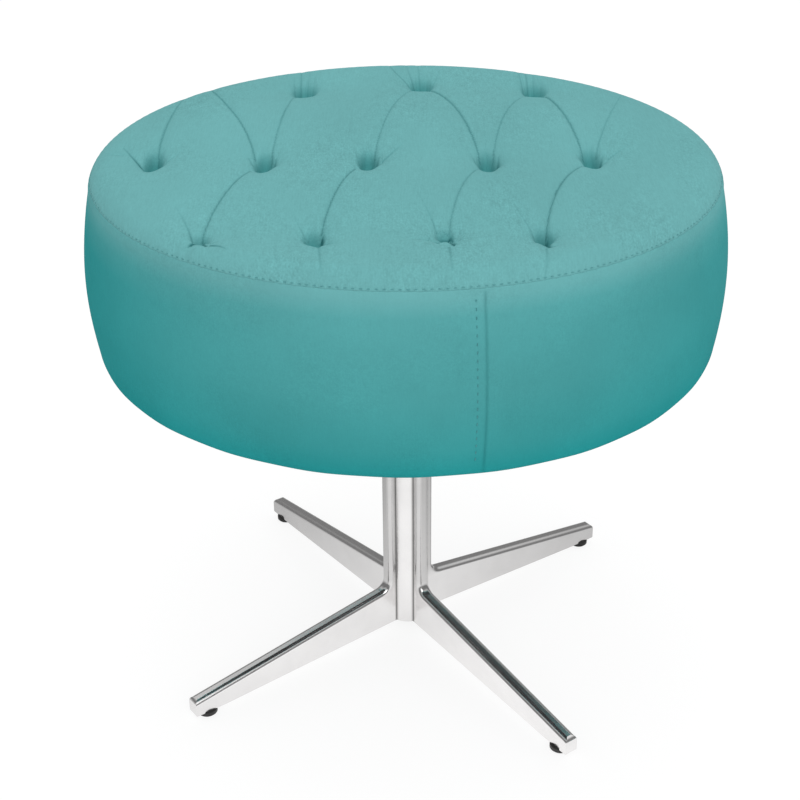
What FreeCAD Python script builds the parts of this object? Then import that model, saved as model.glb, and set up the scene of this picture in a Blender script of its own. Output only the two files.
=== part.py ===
import FreeCAD, Part
import Sketcher
import math
import os
from types import SimpleNamespace
from FreeCAD import Placement, Rotation, Vector

# Swivel pouf: a tufted round seat that turns on a polished four-leg base.
# Frame: origin on the floor under the column, +Z up, the seat's front towards -Y.
# Lengths are millimetres, angles are degrees.

# Driving dimensions, one cell of the sheet each
SIZES = {
    # legs and glides
    "base_turn": -9.2,
    "leg_width": 13,
    "leg_wall": 2,
    "leg_reach": 236,
    "leg_tip_height": 20,
    "leg_root_height": 51.5,
    "leg_bend_radius": 10,
    "leg_edge_radius": 4.5,
    "leg_foot_length": 30,
    "leg_plug_depth": 4,
    "riser_depth": 6.5,
    "glide_diameter": 18,
    "glide_height": 5,
    "glide_edge": 1.5,
    "glide_setback": 14,
    "glide_stem_diameter": 6,
    "glide_stem_length": 8,
    # column
    "tube_diameter": 38,
    "tube_wall": 2.5,
    "column_bottom": 13,
    "column_top": 283,
    "column_plug_inset": 1,
    "column_plug_height": 12,
    "bush_height": 25,
    "lower_bush_bottom": 118,
    # thrust bearing and its cup
    "cup_diameter": 54,
    "cup_bore": 27,
    "cup_floor": 4,
    "cup_rim": 9,
    "cup_gap": 1,
    "race_seat": 2.5,
    "bearing_diameter": 42,
    "bearing_height": 11,
    "race_thickness": 3.2,
    "lower_race_bore": 26,
    "ball_diameter": 6.35,
    "ball_circle": 33.5,
    "ball_clearance": 0.1,
    "cage_bore": 27,
    "cage_diameter": 40.6,
    "cage_thickness": 2,
    "cage_clearance": 0.15,
    # spindle
    "spindle_diameter": 25,
    "running_clearance": 0.05,
    "collar_diameter": 40,
    "collar_height": 5,
    "neck_length": 15,
    "spigot_diameter": 22,
    "axial_play": 0.3,
    "thrust_washer_diameter": 32,
    "thrust_washer_thickness": 2,
    "ring_diameter": 29,
    "ring_thickness": 1.5,
    "ring_groove_depth": 1,
    "ring_arc": 320,
    "spindle_tail": 6,
    # mounting plate and its fasteners
    "plate_side": 160,
    "plate_thickness": 5,
    "plate_corner": 12,
    "bolt_spacing": 120,
    "bolt_diameter": 8,
    "bolt_hole_clearance": 0.5,
    "bolt_head_across": 13,
    "bolt_head_height": 5.3,
    "bolt_end": 2,
    "washer_diameter": 16,
    "washer_thickness": 1.6,
    "tee_nut_flange_diameter": 22,
    "tee_nut_flange": 1.5,
    "tee_nut_barrel_diameter": 10,
    "tee_nut_length": 11,
    # seat frame
    "dust_cover_thickness": 1,
    "dust_cover_lap": 24,
    "staple_length": 10,
    "staple_width": 1.2,
    "staple_thickness": 0.6,
    "side_padding": 24,
    "bottom_board_thickness": 15,
    "top_board_thickness": 12,
    "hoop_thickness": 3,
    "post_side": 45,
    "post_height": 64,
    "post_inset": 43,
    "post_turn": 28,
    "screw_diameter": 4,
    "screw_head_diameter": 8,
    "screw_head_height": 2.5,
    "screw_length": 40,
    # upholstery
    "cover_thickness": 1.5,
    "hem_width": 36,
    "seat_diameter": 530,
    "seat_top_inset": 9,
    "seat_bottom_inset": 4,
    "seat_edge_radius": 8,
    "seat_shoulder_radius": 20,
    "seat_crown": 4,
    "pad_thickness": 68,
    "seam_drop": 16,
    # tufts
    "tuft_depth": 20,
    "tuft_floor_radius": 4,
    "tuft_flare": 22,
    "tuft_back_first": -90,
    "tuft_back_pitch": 103,
    "tuft_back_inset": 93,
    "tuft_back_bow": 16,
    "tuft_middle_inset": 56,
    "tuft_middle_pitch": 87,
    "tuft_middle_place": -25,
    "tuft_middle_bow": -3,
    "tuft_front_first": -145,
    "tuft_front_pitch": 81,
    "tuft_front_inset": 85,
    "tuft_front_bow": -6,
    "twine_diameter": 2,
    "twine_hole": 6,
    "toggle_diameter": 8,
    "toggle_thickness": 3,
}

LEG_NAMES = ("front_right", "back_right", "back_left", "front_left")
FIRST_LEG_ANGLE = -45
BALLS = 12
STAPLES = 24
BACK_TUFTS = 3
MIDDLE_TUFTS = 5
FRONT_TUFTS = 4
Z_AXIS = Vector(0, 0, 1)
TINY = 1e-4
OVERSHOOT = 10

doc = FreeCAD.newDocument("SwivelPouf")
sheet = doc.addObject("Spreadsheet::Sheet", "Sizes")
for row, (name, value) in enumerate(SIZES.items(), start=1):
    sheet.set(f"A{row}", name)
    sheet.set(f"B{row}", str(value))
    sheet.setAlias(f"B{row}", name)
doc.recompute()


# Sizes that carry their number and their formula

class Size:
    """A number together with the sheet formula that it comes from."""

    def __init__(self, number, formula):
        self.number = number
        self.formula = formula

    def joined(self, sign, other, number):
        right = other.formula if isinstance(other, Size) else str(other)
        return Size(number, f"({self.formula} {sign} {right})")

    def __add__(self, other):
        return self.joined("+", other, self.number + number_of(other))

    def __sub__(self, other):
        return self.joined("-", other, self.number - number_of(other))

    def __mul__(self, other):
        return self.joined("*", other, self.number * number_of(other))

    def __truediv__(self, other):
        return self.joined("/", other, self.number / number_of(other))


def number_of(value):
    return value.number if isinstance(value, Size) else value


def cell(name):
    return Size(float(sheet.get(name)), f"Sizes.{name}")


size = SimpleNamespace(**{name: cell(name) for name in SIZES})
zero = size.leg_width * 0

# Heights and radii that several pieces share
tube_radius = size.tube_diameter / 2
tube_bore_radius = tube_radius - size.tube_wall
riser_reach = tube_radius + size.riser_depth
spindle_radius = size.spindle_diameter / 2
bush_bore_radius = spindle_radius + size.running_clearance
bearing_radius = size.bearing_diameter / 2
bearing_bottom = size.column_top + size.cup_floor
bearing_middle = bearing_bottom + size.bearing_height / 2
bearing_top = bearing_bottom + size.bearing_height
collar_top = bearing_top + size.collar_height
plate_bottom = collar_top + size.neck_length
plate_top = plate_bottom + size.plate_thickness
board_bottom = plate_top + size.dust_cover_thickness
board_top = board_bottom + size.bottom_board_thickness
top_board_bottom = board_top + size.post_height
top_board_top = top_board_bottom + size.top_board_thickness
crest = top_board_top + size.pad_thickness
seam_height = crest - size.seam_drop
seat_radius = size.seat_diameter / 2
seat_top_radius = seat_radius - size.seat_top_inset
hoop_radius = seat_radius - size.side_padding
board_radius = hoop_radius - size.hoop_thickness
hem_radius = board_radius - size.hem_width

nodes = {}


# Ways of making a piece

def keep(piece, label):
    """Name a piece and put it on the list of those that are written out."""
    piece.Label = label
    nodes[label] = piece
    return piece


def new_body(label):
    return keep(doc.addObject("PartDesign::Body", label), label)


def hold(sketch, kind, element, point, distance):
    """Tie one coordinate of a sketch point to the sheet."""
    spot = sketch.addConstraint(Sketcher.Constraint(kind, -1, 1, element, point, distance.number))
    sketch.setExpression(f"Constraints[{spot}]", distance.formula)


def new_sketch(body, role, name):
    plane = next(feature for feature in body.Origin.OriginFeatures if feature.Role == role)
    sketch = body.newObject("Sketcher::SketchObject", name)
    sketch.AttachmentSupport = [(plane, "")]
    sketch.MapMode = "FlatFace"
    return sketch


def polygon_sketch(body, role, name, corners):
    """A closed outline through corners, each held by its two distances from the origin."""
    sketch = new_sketch(body, role, name)
    points = [Vector(across.number, up.number, 0) for across, up in corners]
    for start, end in zip(points, points[1:] + points[:1]):
        sketch.addGeometry(Part.LineSegment(start, end), False)
    last = len(corners) - 1
    for index, (across, up) in enumerate(corners):
        before = index - 1 if index else last
        sketch.addConstraint(Sketcher.Constraint("Coincident", before, 2, index, 1))
        hold(sketch, "DistanceX", index, 1, across)
        hold(sketch, "DistanceY", index, 1, up)
    return sketch


def circle_sketch(body, role, name, across, up, diameter):
    """One circle, held by its centre and its diameter."""
    sketch = new_sketch(body, role, name)
    centre = Vector(across.number, up.number, 0)
    sketch.addGeometry(Part.Circle(centre, Z_AXIS, diameter.number / 2), False)
    hold(sketch, "DistanceX", 0, 3, across)
    hold(sketch, "DistanceY", 0, 3, up)
    spot = sketch.addConstraint(Sketcher.Constraint("Diameter", 0, diameter.number))
    sketch.setExpression(f"Constraints[{spot}]", diameter.formula)
    return sketch


def pad(body, sketch, length):
    """Thicken a sketch evenly to both sides of its plane."""
    feature = body.newObject("PartDesign::Pad", "Pad")
    feature.Profile = sketch
    feature.SideType = "Symmetric"
    feature.setExpression("Length", length.formula)
    return feature


def pocket(body, sketch, length=None):
    """Cut a sketch evenly to both sides of its plane, or right through."""
    feature = body.newObject("PartDesign::Pocket", "Pocket")
    feature.Profile = sketch
    feature.SideType = "Symmetric"
    if length is None:
        feature.Type = "ThroughAll"
    else:
        feature.setExpression("Length", length.formula)
    return feature


def fillet(body, feature, edges, radius):
    rounded = body.newObject("PartDesign::Fillet", "Fillet")
    rounded.Base = (feature, edges)
    rounded.setExpression("Radius", radius.formula)
    return rounded


def edges_where(feature, belongs):
    """Names of the feature's edges whose end points all pass the test."""
    doc.recompute()
    names = []
    for index, edge in enumerate(feature.Shape.Edges, start=1):
        if all(belongs(vertex.Point) for vertex in edge.Vertexes):
            names.append(f"Edge{index}")
    return names


def turned(label, corners, arc=None):
    """A piece turned about the column's axis from corners of radius and height."""
    body = new_body(label)
    sketch = polygon_sketch(body, "XZ_Plane", "Profile", corners)
    feature = body.newObject("PartDesign::Revolution", "Revolution")
    feature.Profile = sketch
    feature.ReferenceAxis = (sketch, ["V_Axis"])
    if arc is not None:
        feature.setExpression("Angle", arc.formula)
    return body


def ring(label, inner, outer, bottom, top, arc=None):
    """A turned ring with a square section."""
    return turned(label, [(inner, bottom), (outer, bottom), (outer, top), (inner, top)], arc)


def cylinder(diameter, height, place):
    piece = doc.addObject("Part::Cylinder", "Cylinder")
    piece.setExpression("Radius", (diameter / 2).formula)
    piece.setExpression("Height", height.formula)
    piece.Placement.Base = place
    return piece


def cut(base, *tools):
    """A solid with other solids taken out of it."""
    tool = tools[0] if len(tools) == 1 else group(tools)
    piece = doc.addObject("Part::Cut", "Cut")
    piece.Base = base
    piece.Tool = tool
    return piece


def fuse(*pieces):
    piece = doc.addObject("Part::MultiFuse", "Fuse")
    piece.Shapes = list(pieces)
    return piece


def group(pieces):
    """Separate solids under one name."""
    piece = doc.addObject("Part::Compound", "Group")
    piece.Links = list(pieces)
    return piece


def polar(radius, angle, height):
    turn = math.radians(angle)
    return Vector(radius * math.cos(turn), radius * math.sin(turn), height)


def about_column(angle):
    return Placement(Vector(), Rotation(Z_AXIS, angle))


# Legs: a riser welded to the tube that bends into a tapering hollow foot

ridge_slope = (size.leg_root_height - size.leg_tip_height) / (size.leg_reach - riser_reach)
foot_start = size.leg_reach - size.leg_foot_length
under_root = tube_radius / 2
under_slope = (size.column_bottom - size.glide_height) / (foot_start - under_root)
hollow_start = riser_reach + size.leg_wall
hollow_width = size.leg_width - size.leg_wall * 2
hollow_floor = size.glide_height + size.leg_wall
hollow_roof = size.leg_tip_height - size.leg_wall
glide_radius = size.leg_reach - size.glide_setback


def make_leg(label, angle):
    body = new_body(label)
    side = polygon_sketch(body, "XZ_Plane", "Side", [
        (riser_reach, size.column_top),
        (riser_reach, size.leg_root_height),
        (size.leg_reach, size.leg_tip_height),
        (size.leg_reach, size.glide_height),
        (foot_start, size.glide_height),
        (under_root, size.column_bottom),
        (under_root, size.column_top),
    ])
    pad(body, side, size.leg_width)
    saddle = circle_sketch(body, "XY_Plane", "Saddle", zero, zero, size.tube_diameter)
    welded = pocket(body, saddle)

    def in_bend(point):
        return (abs(point.x - riser_reach.number) < TINY
                and abs(point.z - size.leg_root_height.number) < TINY)

    bent = fillet(body, welded, edges_where(welded, in_bend), size.leg_bend_radius)

    def on_ridge(point):
        return (abs(abs(point.y) - size.leg_width.number / 2) < TINY
                and point.x > riser_reach.number - TINY
                and point.z > size.leg_tip_height.number - TINY)

    fillet(body, bent, edges_where(bent, on_ridge), size.leg_edge_radius)
    hollow = polygon_sketch(body, "XZ_Plane", "Hollow", [
        (hollow_start, size.leg_root_height - size.leg_wall * (ridge_slope + 1)),
        (size.leg_reach, hollow_roof),
        (size.leg_reach, hollow_floor),
        (foot_start, hollow_floor),
        (hollow_start, hollow_floor + under_slope * (foot_start - hollow_start)),
    ])
    pocket(body, hollow, hollow_width)
    stem_hole = circle_sketch(body, "XY_Plane", "StemHole", glide_radius, zero, size.glide_stem_diameter)
    pocket(body, stem_hole, hollow_floor * 2)
    body.Placement = about_column(angle)


def make_leg_plug(label, angle):
    body = new_body(label)
    inner_end = size.leg_reach - size.leg_plug_depth
    side = polygon_sketch(body, "XZ_Plane", "Side", [
        (inner_end, hollow_floor),
        (size.leg_reach, hollow_floor),
        (size.leg_reach, hollow_roof),
        (inner_end, hollow_roof),
    ])
    pad(body, side, hollow_width)
    body.Placement = about_column(angle)


def make_glide(label, angle):
    head_radius = size.glide_diameter / 2
    stem_radius = size.glide_stem_diameter / 2
    stem_top = size.glide_height + size.glide_stem_length
    body = turned(label, [
        (zero, zero),
        (head_radius - size.glide_edge, zero),
        (head_radius, size.glide_edge),
        (head_radius, size.glide_height),
        (stem_radius, size.glide_height),
        (stem_radius, stem_top),
        (zero, stem_top),
    ])
    body.Placement.Base = polar(glide_radius.number, angle, 0)


for index, place in enumerate(LEG_NAMES):
    leg_angle = FIRST_LEG_ANGLE + size.base_turn.number + 90 * index
    make_leg(f"leg_{place}", leg_angle)
    make_leg_plug(f"leg_plug_{place}", leg_angle)
    make_glide(f"glide_{place}", leg_angle)

# Column: tube, bushes and the plug that closes its foot

ring("column_tube", tube_bore_radius, tube_radius, size.column_bottom, size.column_top)
ring("upper_bush", bush_bore_radius, tube_bore_radius, size.column_top - size.bush_height, size.column_top)
ring("lower_bush", bush_bore_radius, tube_bore_radius,
     size.lower_bush_bottom, size.lower_bush_bottom + size.bush_height)
plug_bottom = size.column_bottom + size.column_plug_inset
ring("column_plug", zero, tube_bore_radius, plug_bottom, plug_bottom + size.column_plug_height)

# Thrust bearing: two grooved races, balls in a cage, and the cup that holds them

race_seat_top = bearing_bottom + size.race_seat
relief_radius = bearing_radius + size.cup_gap
turned("bearing_cup", [
    (size.cup_bore / 2, size.column_top),
    (size.cup_diameter / 2, size.column_top),
    (size.cup_diameter / 2, bearing_bottom + size.cup_rim),
    (relief_radius, bearing_bottom + size.cup_rim),
    (relief_radius, race_seat_top),
    (bearing_radius, race_seat_top),
    (bearing_radius, bearing_bottom),
    (size.cup_bore / 2, bearing_bottom),
])


def make_race(label, bore, bottom):
    """A flat ring with a round groove for the balls."""
    blank = cylinder(size.bearing_diameter, size.race_thickness, Z_AXIS * bottom.number)
    hole = cylinder(bore, size.race_thickness, blank.Placement.Base)
    groove = doc.addObject("Part::Torus", "Groove")
    groove.setExpression("Radius1", (size.ball_circle / 2).formula)
    groove.setExpression("Radius2", (size.ball_diameter / 2 + size.ball_clearance).formula)
    groove.Placement.Base = Z_AXIS * bearing_middle.number
    keep(cut(cut(blank, hole), groove), label)


make_race("lower_race", size.lower_race_bore, bearing_bottom)
make_race("upper_race", size.spindle_diameter, bearing_top - size.race_thickness)

cage_blank = cylinder(size.cage_diameter, size.cage_thickness,
                      Z_AXIS * (bearing_middle - size.cage_thickness / 2).number)
cage_hole = cylinder(size.cage_bore, size.cage_thickness, cage_blank.Placement.Base)
balls = []
ball_windows = []
for index in range(BALLS):
    ball_place = polar(size.ball_circle.number / 2, 360 / BALLS * index, bearing_middle.number)
    ball = doc.addObject("Part::Sphere", "Ball")
    ball.setExpression("Radius", (size.ball_diameter / 2).formula)
    ball.Placement.Base = ball_place
    balls.append(ball)
    window_place = Vector(ball_place.x, ball_place.y, cage_blank.Placement.Base.z)
    window_diameter = size.ball_diameter + size.cage_clearance * 2
    ball_windows.append(cylinder(window_diameter, size.cage_thickness, window_place))
keep(cut(cut(cage_blank, cage_hole), *ball_windows), "ball_cage")
keep(group(balls), "bearing_balls")

# Spindle: carries the plate on its shoulder, the seat's weight on its collar, and is held by a ring

thrust_washer_top = size.lower_bush_bottom - size.axial_play
ring_top = thrust_washer_top - size.thrust_washer_thickness
ring_bottom = ring_top - size.ring_thickness
spindle_end = ring_bottom - size.spindle_tail
ring_groove_radius = spindle_radius - size.ring_groove_depth
turned("spindle", [
    (zero, spindle_end),
    (spindle_radius, spindle_end),
    (spindle_radius, ring_bottom),
    (ring_groove_radius, ring_bottom),
    (ring_groove_radius, ring_top),
    (spindle_radius, ring_top),
    (spindle_radius, bearing_top),
    (size.collar_diameter / 2, bearing_top),
    (size.collar_diameter / 2, collar_top),
    (spindle_radius, collar_top),
    (spindle_radius, plate_bottom),
    (size.spigot_diameter / 2, plate_bottom),
    (size.spigot_diameter / 2, plate_top),
    (zero, plate_top),
])
ring("thrust_washer", bush_bore_radius, size.thrust_washer_diameter / 2, ring_top, thrust_washer_top)
ring("retaining_ring", ring_groove_radius, size.ring_diameter / 2, ring_bottom, ring_top, size.ring_arc)

# Mounting plate, bolted up through the dust cover and the bottom board into tee nuts

half_spacing = size.bolt_spacing.number / 2
bolt_corners = [Vector(x, y, 0) for x in (-half_spacing, half_spacing) for y in (-half_spacing, half_spacing)]
bolt_hole_diameter = size.bolt_diameter + size.bolt_hole_clearance * 2
washer_bottom = plate_bottom - size.washer_thickness


def at_bolts(height, diameter, length):
    """One cylinder at each bolt, standing on the given height."""
    return [cylinder(diameter, length, corner + Z_AXIS * height.number) for corner in bolt_corners]


def make_plate():
    blank = doc.addObject("Part::Box", "PlateBlank")
    blank.setExpression("Length", size.plate_side.formula)
    blank.setExpression("Width", size.plate_side.formula)
    blank.setExpression("Height", size.plate_thickness.formula)
    half_side = size.plate_side.number / 2
    blank.Placement.Base = Vector(-half_side, -half_side, plate_bottom.number)
    doc.recompute()
    corners = []
    for index, edge in enumerate(blank.Shape.Edges, start=1):
        if abs(edge.tangentAt(edge.FirstParameter).z) > 1 - TINY:
            corners.append((index, size.plate_corner.number, size.plate_corner.number))
    rounded = doc.addObject("Part::Fillet", "PlateRounded")
    rounded.Base = blank
    rounded.Edges = corners
    holes = at_bolts(plate_bottom, bolt_hole_diameter, size.plate_thickness)
    holes.append(cylinder(size.spigot_diameter, size.plate_thickness, Z_AXIS * plate_bottom.number))
    keep(cut(rounded, *holes), "mounting_plate")


def make_bolts():
    bolts = []
    shank_length = board_top + size.tee_nut_flange + size.bolt_end - washer_bottom
    head_bottom = washer_bottom - size.bolt_head_height
    for corner in bolt_corners:
        head = doc.addObject("Part::Prism", "BoltHead")
        head.Polygon = 6
        head.setExpression("Circumradius", (size.bolt_head_across / math.sqrt(3)).formula)
        head.setExpression("Height", size.bolt_head_height.formula)
        head.Placement.Base = corner + Z_AXIS * head_bottom.number
        shank = cylinder(size.bolt_diameter, shank_length, corner + Z_AXIS * washer_bottom.number)
        bolts.append(fuse(head, shank))
    keep(group(bolts), "plate_bolts")


def make_washers():
    discs = at_bolts(washer_bottom, size.washer_diameter, size.washer_thickness)
    holes = at_bolts(washer_bottom, size.bolt_diameter, size.washer_thickness)
    keep(group([cut(disc, hole) for disc, hole in zip(discs, holes)]), "plate_washers")


def make_tee_nuts():
    barrel_bottom = board_top - size.tee_nut_length
    height = size.tee_nut_length + size.tee_nut_flange
    flanges = at_bolts(board_top, size.tee_nut_flange_diameter, size.tee_nut_flange)
    barrels = at_bolts(barrel_bottom, size.tee_nut_barrel_diameter, size.tee_nut_length)
    threads = at_bolts(barrel_bottom, size.bolt_diameter, height)
    nuts = [cut(fuse(*solids), thread) for *solids, thread in zip(flanges, barrels, threads)]
    keep(group(nuts), "tee_nuts")


make_plate()
make_bolts()
make_washers()
make_tee_nuts()

# Tuft places: three rows across the top, each bowed a little at its middle

tuft_rows = (
    (BACK_TUFTS, size.tuft_back_first, size.tuft_back_pitch,
     seat_top_radius - size.tuft_back_inset, size.tuft_back_bow),
    (MIDDLE_TUFTS, zero - (seat_top_radius - size.tuft_middle_inset), size.tuft_middle_pitch,
     size.tuft_middle_place, size.tuft_middle_bow),
    (FRONT_TUFTS, size.tuft_front_first, size.tuft_front_pitch,
     zero - (seat_top_radius - size.tuft_front_inset), size.tuft_front_bow),
)
tuft_places = []
for count, first, pitch, place, bow in tuft_rows:
    for index in range(count):
        from_middle = 2 * index / (count - 1) - 1
        bowed = place.number + bow.number * (1 - from_middle ** 2)
        tuft_places.append(Vector(first.number + pitch.number * index, bowed, 0))

# Seat frame: two boards, posts between them, screws, and a hoop round the outside


def make_screw(place, up):
    """A countersunk screw with its head's face at the place, pointing up or down."""
    turn = Rotation() if up else Rotation(Vector(1, 0, 0), 180)
    head = doc.addObject("Part::Cone", "ScrewHead")
    head.setExpression("Radius1", (size.screw_head_diameter / 2).formula)
    head.setExpression("Radius2", (size.screw_diameter / 2).formula)
    head.setExpression("Height", size.screw_head_height.formula)
    shank = cylinder(size.screw_diameter, size.screw_length, place)
    head.Placement = Placement(place, turn)
    shank.Placement = Placement(place, turn)
    return fuse(head, shank)


post_turn = size.post_turn.number
post_angles = [post_turn, 180 - post_turn, 180 + post_turn, 360 - post_turn]
post_radius = (board_radius - size.post_inset).number
lower_screws = [make_screw(polar(post_radius, angle, board_bottom.number), True) for angle in post_angles]
upper_screws = [make_screw(polar(post_radius, angle, top_board_top.number), False) for angle in post_angles]
keep(group(lower_screws + upper_screws), "post_screws")

for index, angle in enumerate(post_angles, start=1):
    post = doc.addObject("Part::Box", "PostBlank")
    post.setExpression("Length", size.post_side.formula)
    post.setExpression("Width", size.post_side.formula)
    post.setExpression("Height", size.post_height.formula)
    half_post = size.post_side.number / 2
    corner = polar(post_radius - half_post, angle, board_top.number) + polar(half_post, angle - 90, 0)
    post.Placement = Placement(corner, Rotation(Z_AXIS, angle))
    keep(cut(post, lower_screws[index - 1], upper_screws[index - 1]), f"frame_post_{index}")

bottom_blank = cylinder(board_radius * 2, size.bottom_board_thickness, Z_AXIS * board_bottom.number)
nut_holes = at_bolts(board_bottom, size.tee_nut_barrel_diameter, size.bottom_board_thickness)
keep(cut(bottom_blank, *nut_holes, *lower_screws), "bottom_board")

top_blank = cylinder(board_radius * 2, size.top_board_thickness, Z_AXIS * top_board_bottom.number)
twine_holes = [cylinder(size.twine_hole, size.top_board_thickness, place + Z_AXIS * top_board_bottom.number)
               for place in tuft_places]
keep(cut(top_blank, *twine_holes, *upper_screws), "top_board")

ring("side_hoop", board_radius, hoop_radius, board_bottom, top_board_top)

# Dust cover: a disc over the board's underside whose rim laps over the band's turned-in hem

cover_bottom = board_bottom - size.cover_thickness
lap_bottom = cover_bottom - size.dust_cover_thickness
lap_inner = hem_radius - size.dust_cover_thickness
lap_outer = hem_radius + size.dust_cover_lap
dust_blank = turned("dust_cover", [
    (zero, plate_top),
    (lap_inner, plate_top),
    (lap_inner, lap_bottom),
    (lap_outer, lap_bottom),
    (lap_outer, cover_bottom),
    (hem_radius, cover_bottom),
    (hem_radius, board_bottom),
    (zero, board_bottom),
])
dust_blank.Label = "dust_cover_blank"
keep(cut(dust_blank, *at_bolts(plate_top, bolt_hole_diameter, size.dust_cover_thickness)), "dust_cover")

staples = []
for index in range(STAPLES):
    staple_angle = 360 / STAPLES * index
    staple = doc.addObject("Part::Box", "Staple")
    staple.setExpression("Length", size.staple_width.formula)
    staple.setExpression("Width", size.staple_length.formula)
    staple.setExpression("Height", size.staple_thickness.formula)
    staple_bottom = (lap_bottom - size.staple_thickness).number
    staple_radius = (hem_radius + size.dust_cover_lap / 2).number
    corner = polar(staple_radius, staple_angle, staple_bottom)
    corner = corner + polar(size.staple_length.number / 2, staple_angle - 90, 0)
    staple.Placement = Placement(corner, Rotation(Z_AXIS, staple_angle))
    staples.append(staple)
keep(group(staples), "dust_cover_staples")

# Upholstery: one swelling outline, turned, with a flared well at each tuft

cover = size.cover_thickness.number
top_radius = seat_top_radius.number
shoulder_radius = size.seat_shoulder_radius.number
rim_height = (crest - size.seat_crown).number


def arc(start, middle, end):
    return Part.Arc(start, middle, end).toShape()


def quarter(centre, radius, first_angle):
    """A quarter circle in the XZ plane, counter-clockwise from the first angle."""
    points = []
    for angle in (first_angle, first_angle + 45, first_angle + 90):
        turn = math.radians(angle)
        points.append(centre + Vector(radius * math.cos(turn), 0, radius * math.sin(turn)))
    return arc(*points)


def turned_face(edges):
    return Part.Face(Part.Wire(edges)).revolve(Vector(), Z_AXIS, 360)


flat_radius = top_radius - shoulder_radius
crown_fall = size.seat_crown.number
crown_radius = (flat_radius ** 2 + crown_fall ** 2) / (2 * crown_fall)


def crown_height(radius):
    """Height of the crowned top, an arc that falls by the crown from the crest to the shoulder."""
    return crest.number - crown_radius + math.sqrt(crown_radius ** 2 - radius ** 2)


def top_height(radius):
    """Height of the seat's outer surface: the crown, then the rounded shoulder."""
    if radius <= flat_radius:
        return crown_height(radius)
    reach = radius - flat_radius
    return rim_height - shoulder_radius + math.sqrt(shoulder_radius ** 2 - reach ** 2)


def top_slope(radius):
    """Angle by which the outer surface leans out at a radius."""
    if radius <= flat_radius:
        return math.degrees(math.asin(radius / crown_radius))
    return math.degrees(math.asin((radius - flat_radius) / shoulder_radius))


def seat_solid(inset):
    """The seat's whole outline, moved inwards by the inset, as one turned solid."""
    bottom = cover_bottom.number + inset
    bottom_radius = (seat_radius - size.seat_bottom_inset).number - inset
    edge_radius = size.seat_edge_radius.number - inset
    edge_centre = Vector(bottom_radius - edge_radius, 0, bottom + edge_radius)
    shoulder_centre = Vector(flat_radius, 0, rim_height - shoulder_radius)
    lower = Vector(bottom_radius, 0, edge_centre.z)
    upper = Vector(top_radius - inset, 0, shoulder_centre.z)
    swell = Vector(seat_radius.number - inset, 0, (lower.z + upper.z) / 2)
    rim = Vector(shoulder_centre.x, 0, rim_height - inset)
    half_way = Vector(rim.x / 2, 0, crown_height(rim.x / 2) - inset)
    top = Vector(0, 0, crest.number - inset)
    floor_edge = Vector(edge_centre.x, 0, bottom)
    return turned_face([
        Part.LineSegment(Vector(0, 0, bottom), floor_edge).toShape(),
        quarter(edge_centre, edge_radius, -90),
        arc(lower, swell, upper),
        quarter(shoulder_centre, shoulder_radius - inset, 0),
        arc(rim, half_way, top),
        Part.LineSegment(top, Vector(0, 0, bottom)).toShape(),
    ])


def tuft_floor(place):
    return top_height(place.Length) - size.tuft_depth.number


def tuft_well(place, inset):
    """The space over a tuft: a round floor whose wall flares out to the surface."""
    floor_radius = size.tuft_floor_radius.number + inset
    flare = size.tuft_flare.number - inset
    height = tuft_floor(place)
    mouth_radius = floor_radius + flare
    centre = Vector(mouth_radius, 0, height)
    low = Vector(floor_radius, 0, height - inset)
    foot = Vector(floor_radius, 0, height)
    mouth = Vector(mouth_radius, 0, height + flare)
    sky = Vector(mouth_radius, 0, height + flare + OVERSHOOT)
    corners = [Vector(0, 0, sky.z), Vector(0, 0, low.z), low]
    if inset > 0:
        corners.append(foot)
    edges = [Part.LineSegment(*pair).toShape() for pair in zip(corners, corners[1:])]
    edges.append(arc(foot, quarter_middle(centre, flare), mouth))
    edges.append(Part.LineSegment(mouth, sky).toShape())
    edges.append(Part.LineSegment(sky, corners[0]).toShape())
    well = turned_face(edges)
    well.translate(place)
    lean_axis = Z_AXIS.cross(place)
    well.rotate(place + Z_AXIS * height, lean_axis, top_slope(place.Length))
    return well


def quarter_middle(centre, radius):
    """The middle of the quarter circle that leaves its foot upright and ends level."""
    half = radius * math.sqrt(0.5)
    return centre + Vector(-half, 0, half)


def slab(bottom, top, radius):
    """A round slice between two heights."""
    return Part.makeCylinder(radius, top - bottom, Z_AXIS * bottom)


def soft_piece(label, shape):
    piece = keep(doc.addObject("Part::Feature", label), label)
    piece.Shape = shape
    return piece


whole_radius = size.seat_diameter.number
above_all = crest.number + OVERSHOOT
below_all = cover_bottom.number - OVERSHOOT
outer_plain = seat_solid(0)
inner_plain = seat_solid(cover)
outer_form = outer_plain.cut([tuft_well(place, 0) for place in tuft_places])
inner_form = inner_plain.cut([tuft_well(place, cover) for place in tuft_places])

band = outer_plain.cut(inner_plain).common(slab(below_all, seam_height.number, whole_radius))
band = band.cut(slab(below_all, board_bottom.number, hem_radius.number))
soft_piece("side_band", band)
skin = outer_form.cut(inner_form).cut(slab(below_all, board_top.number, whole_radius))
soft_piece("top_cover", skin.cut(band))

toggle_bottom = top_board_bottom - size.toggle_thickness
twine_radius = size.twine_diameter.number / 2
twine_solids = []
for place in tuft_places:
    foot = place + Z_AXIS * toggle_bottom.number
    cord = Part.makeCylinder(twine_radius, above_all - foot.z, foot)
    twine_solids.append(cord.common(inner_form).Solids[0])
top_pad = inner_form.common(slab(top_board_top.number, above_all, whole_radius))
soft_piece("top_foam", top_pad.cut(twine_solids))
soft_piece("tuft_twines", Part.makeCompound(twine_solids))

side_pad = inner_form.common(slab(board_bottom.number, top_board_top.number, whole_radius))
soft_piece("side_foam", side_pad.cut(slab(below_all, above_all, hoop_radius.number)))

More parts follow.
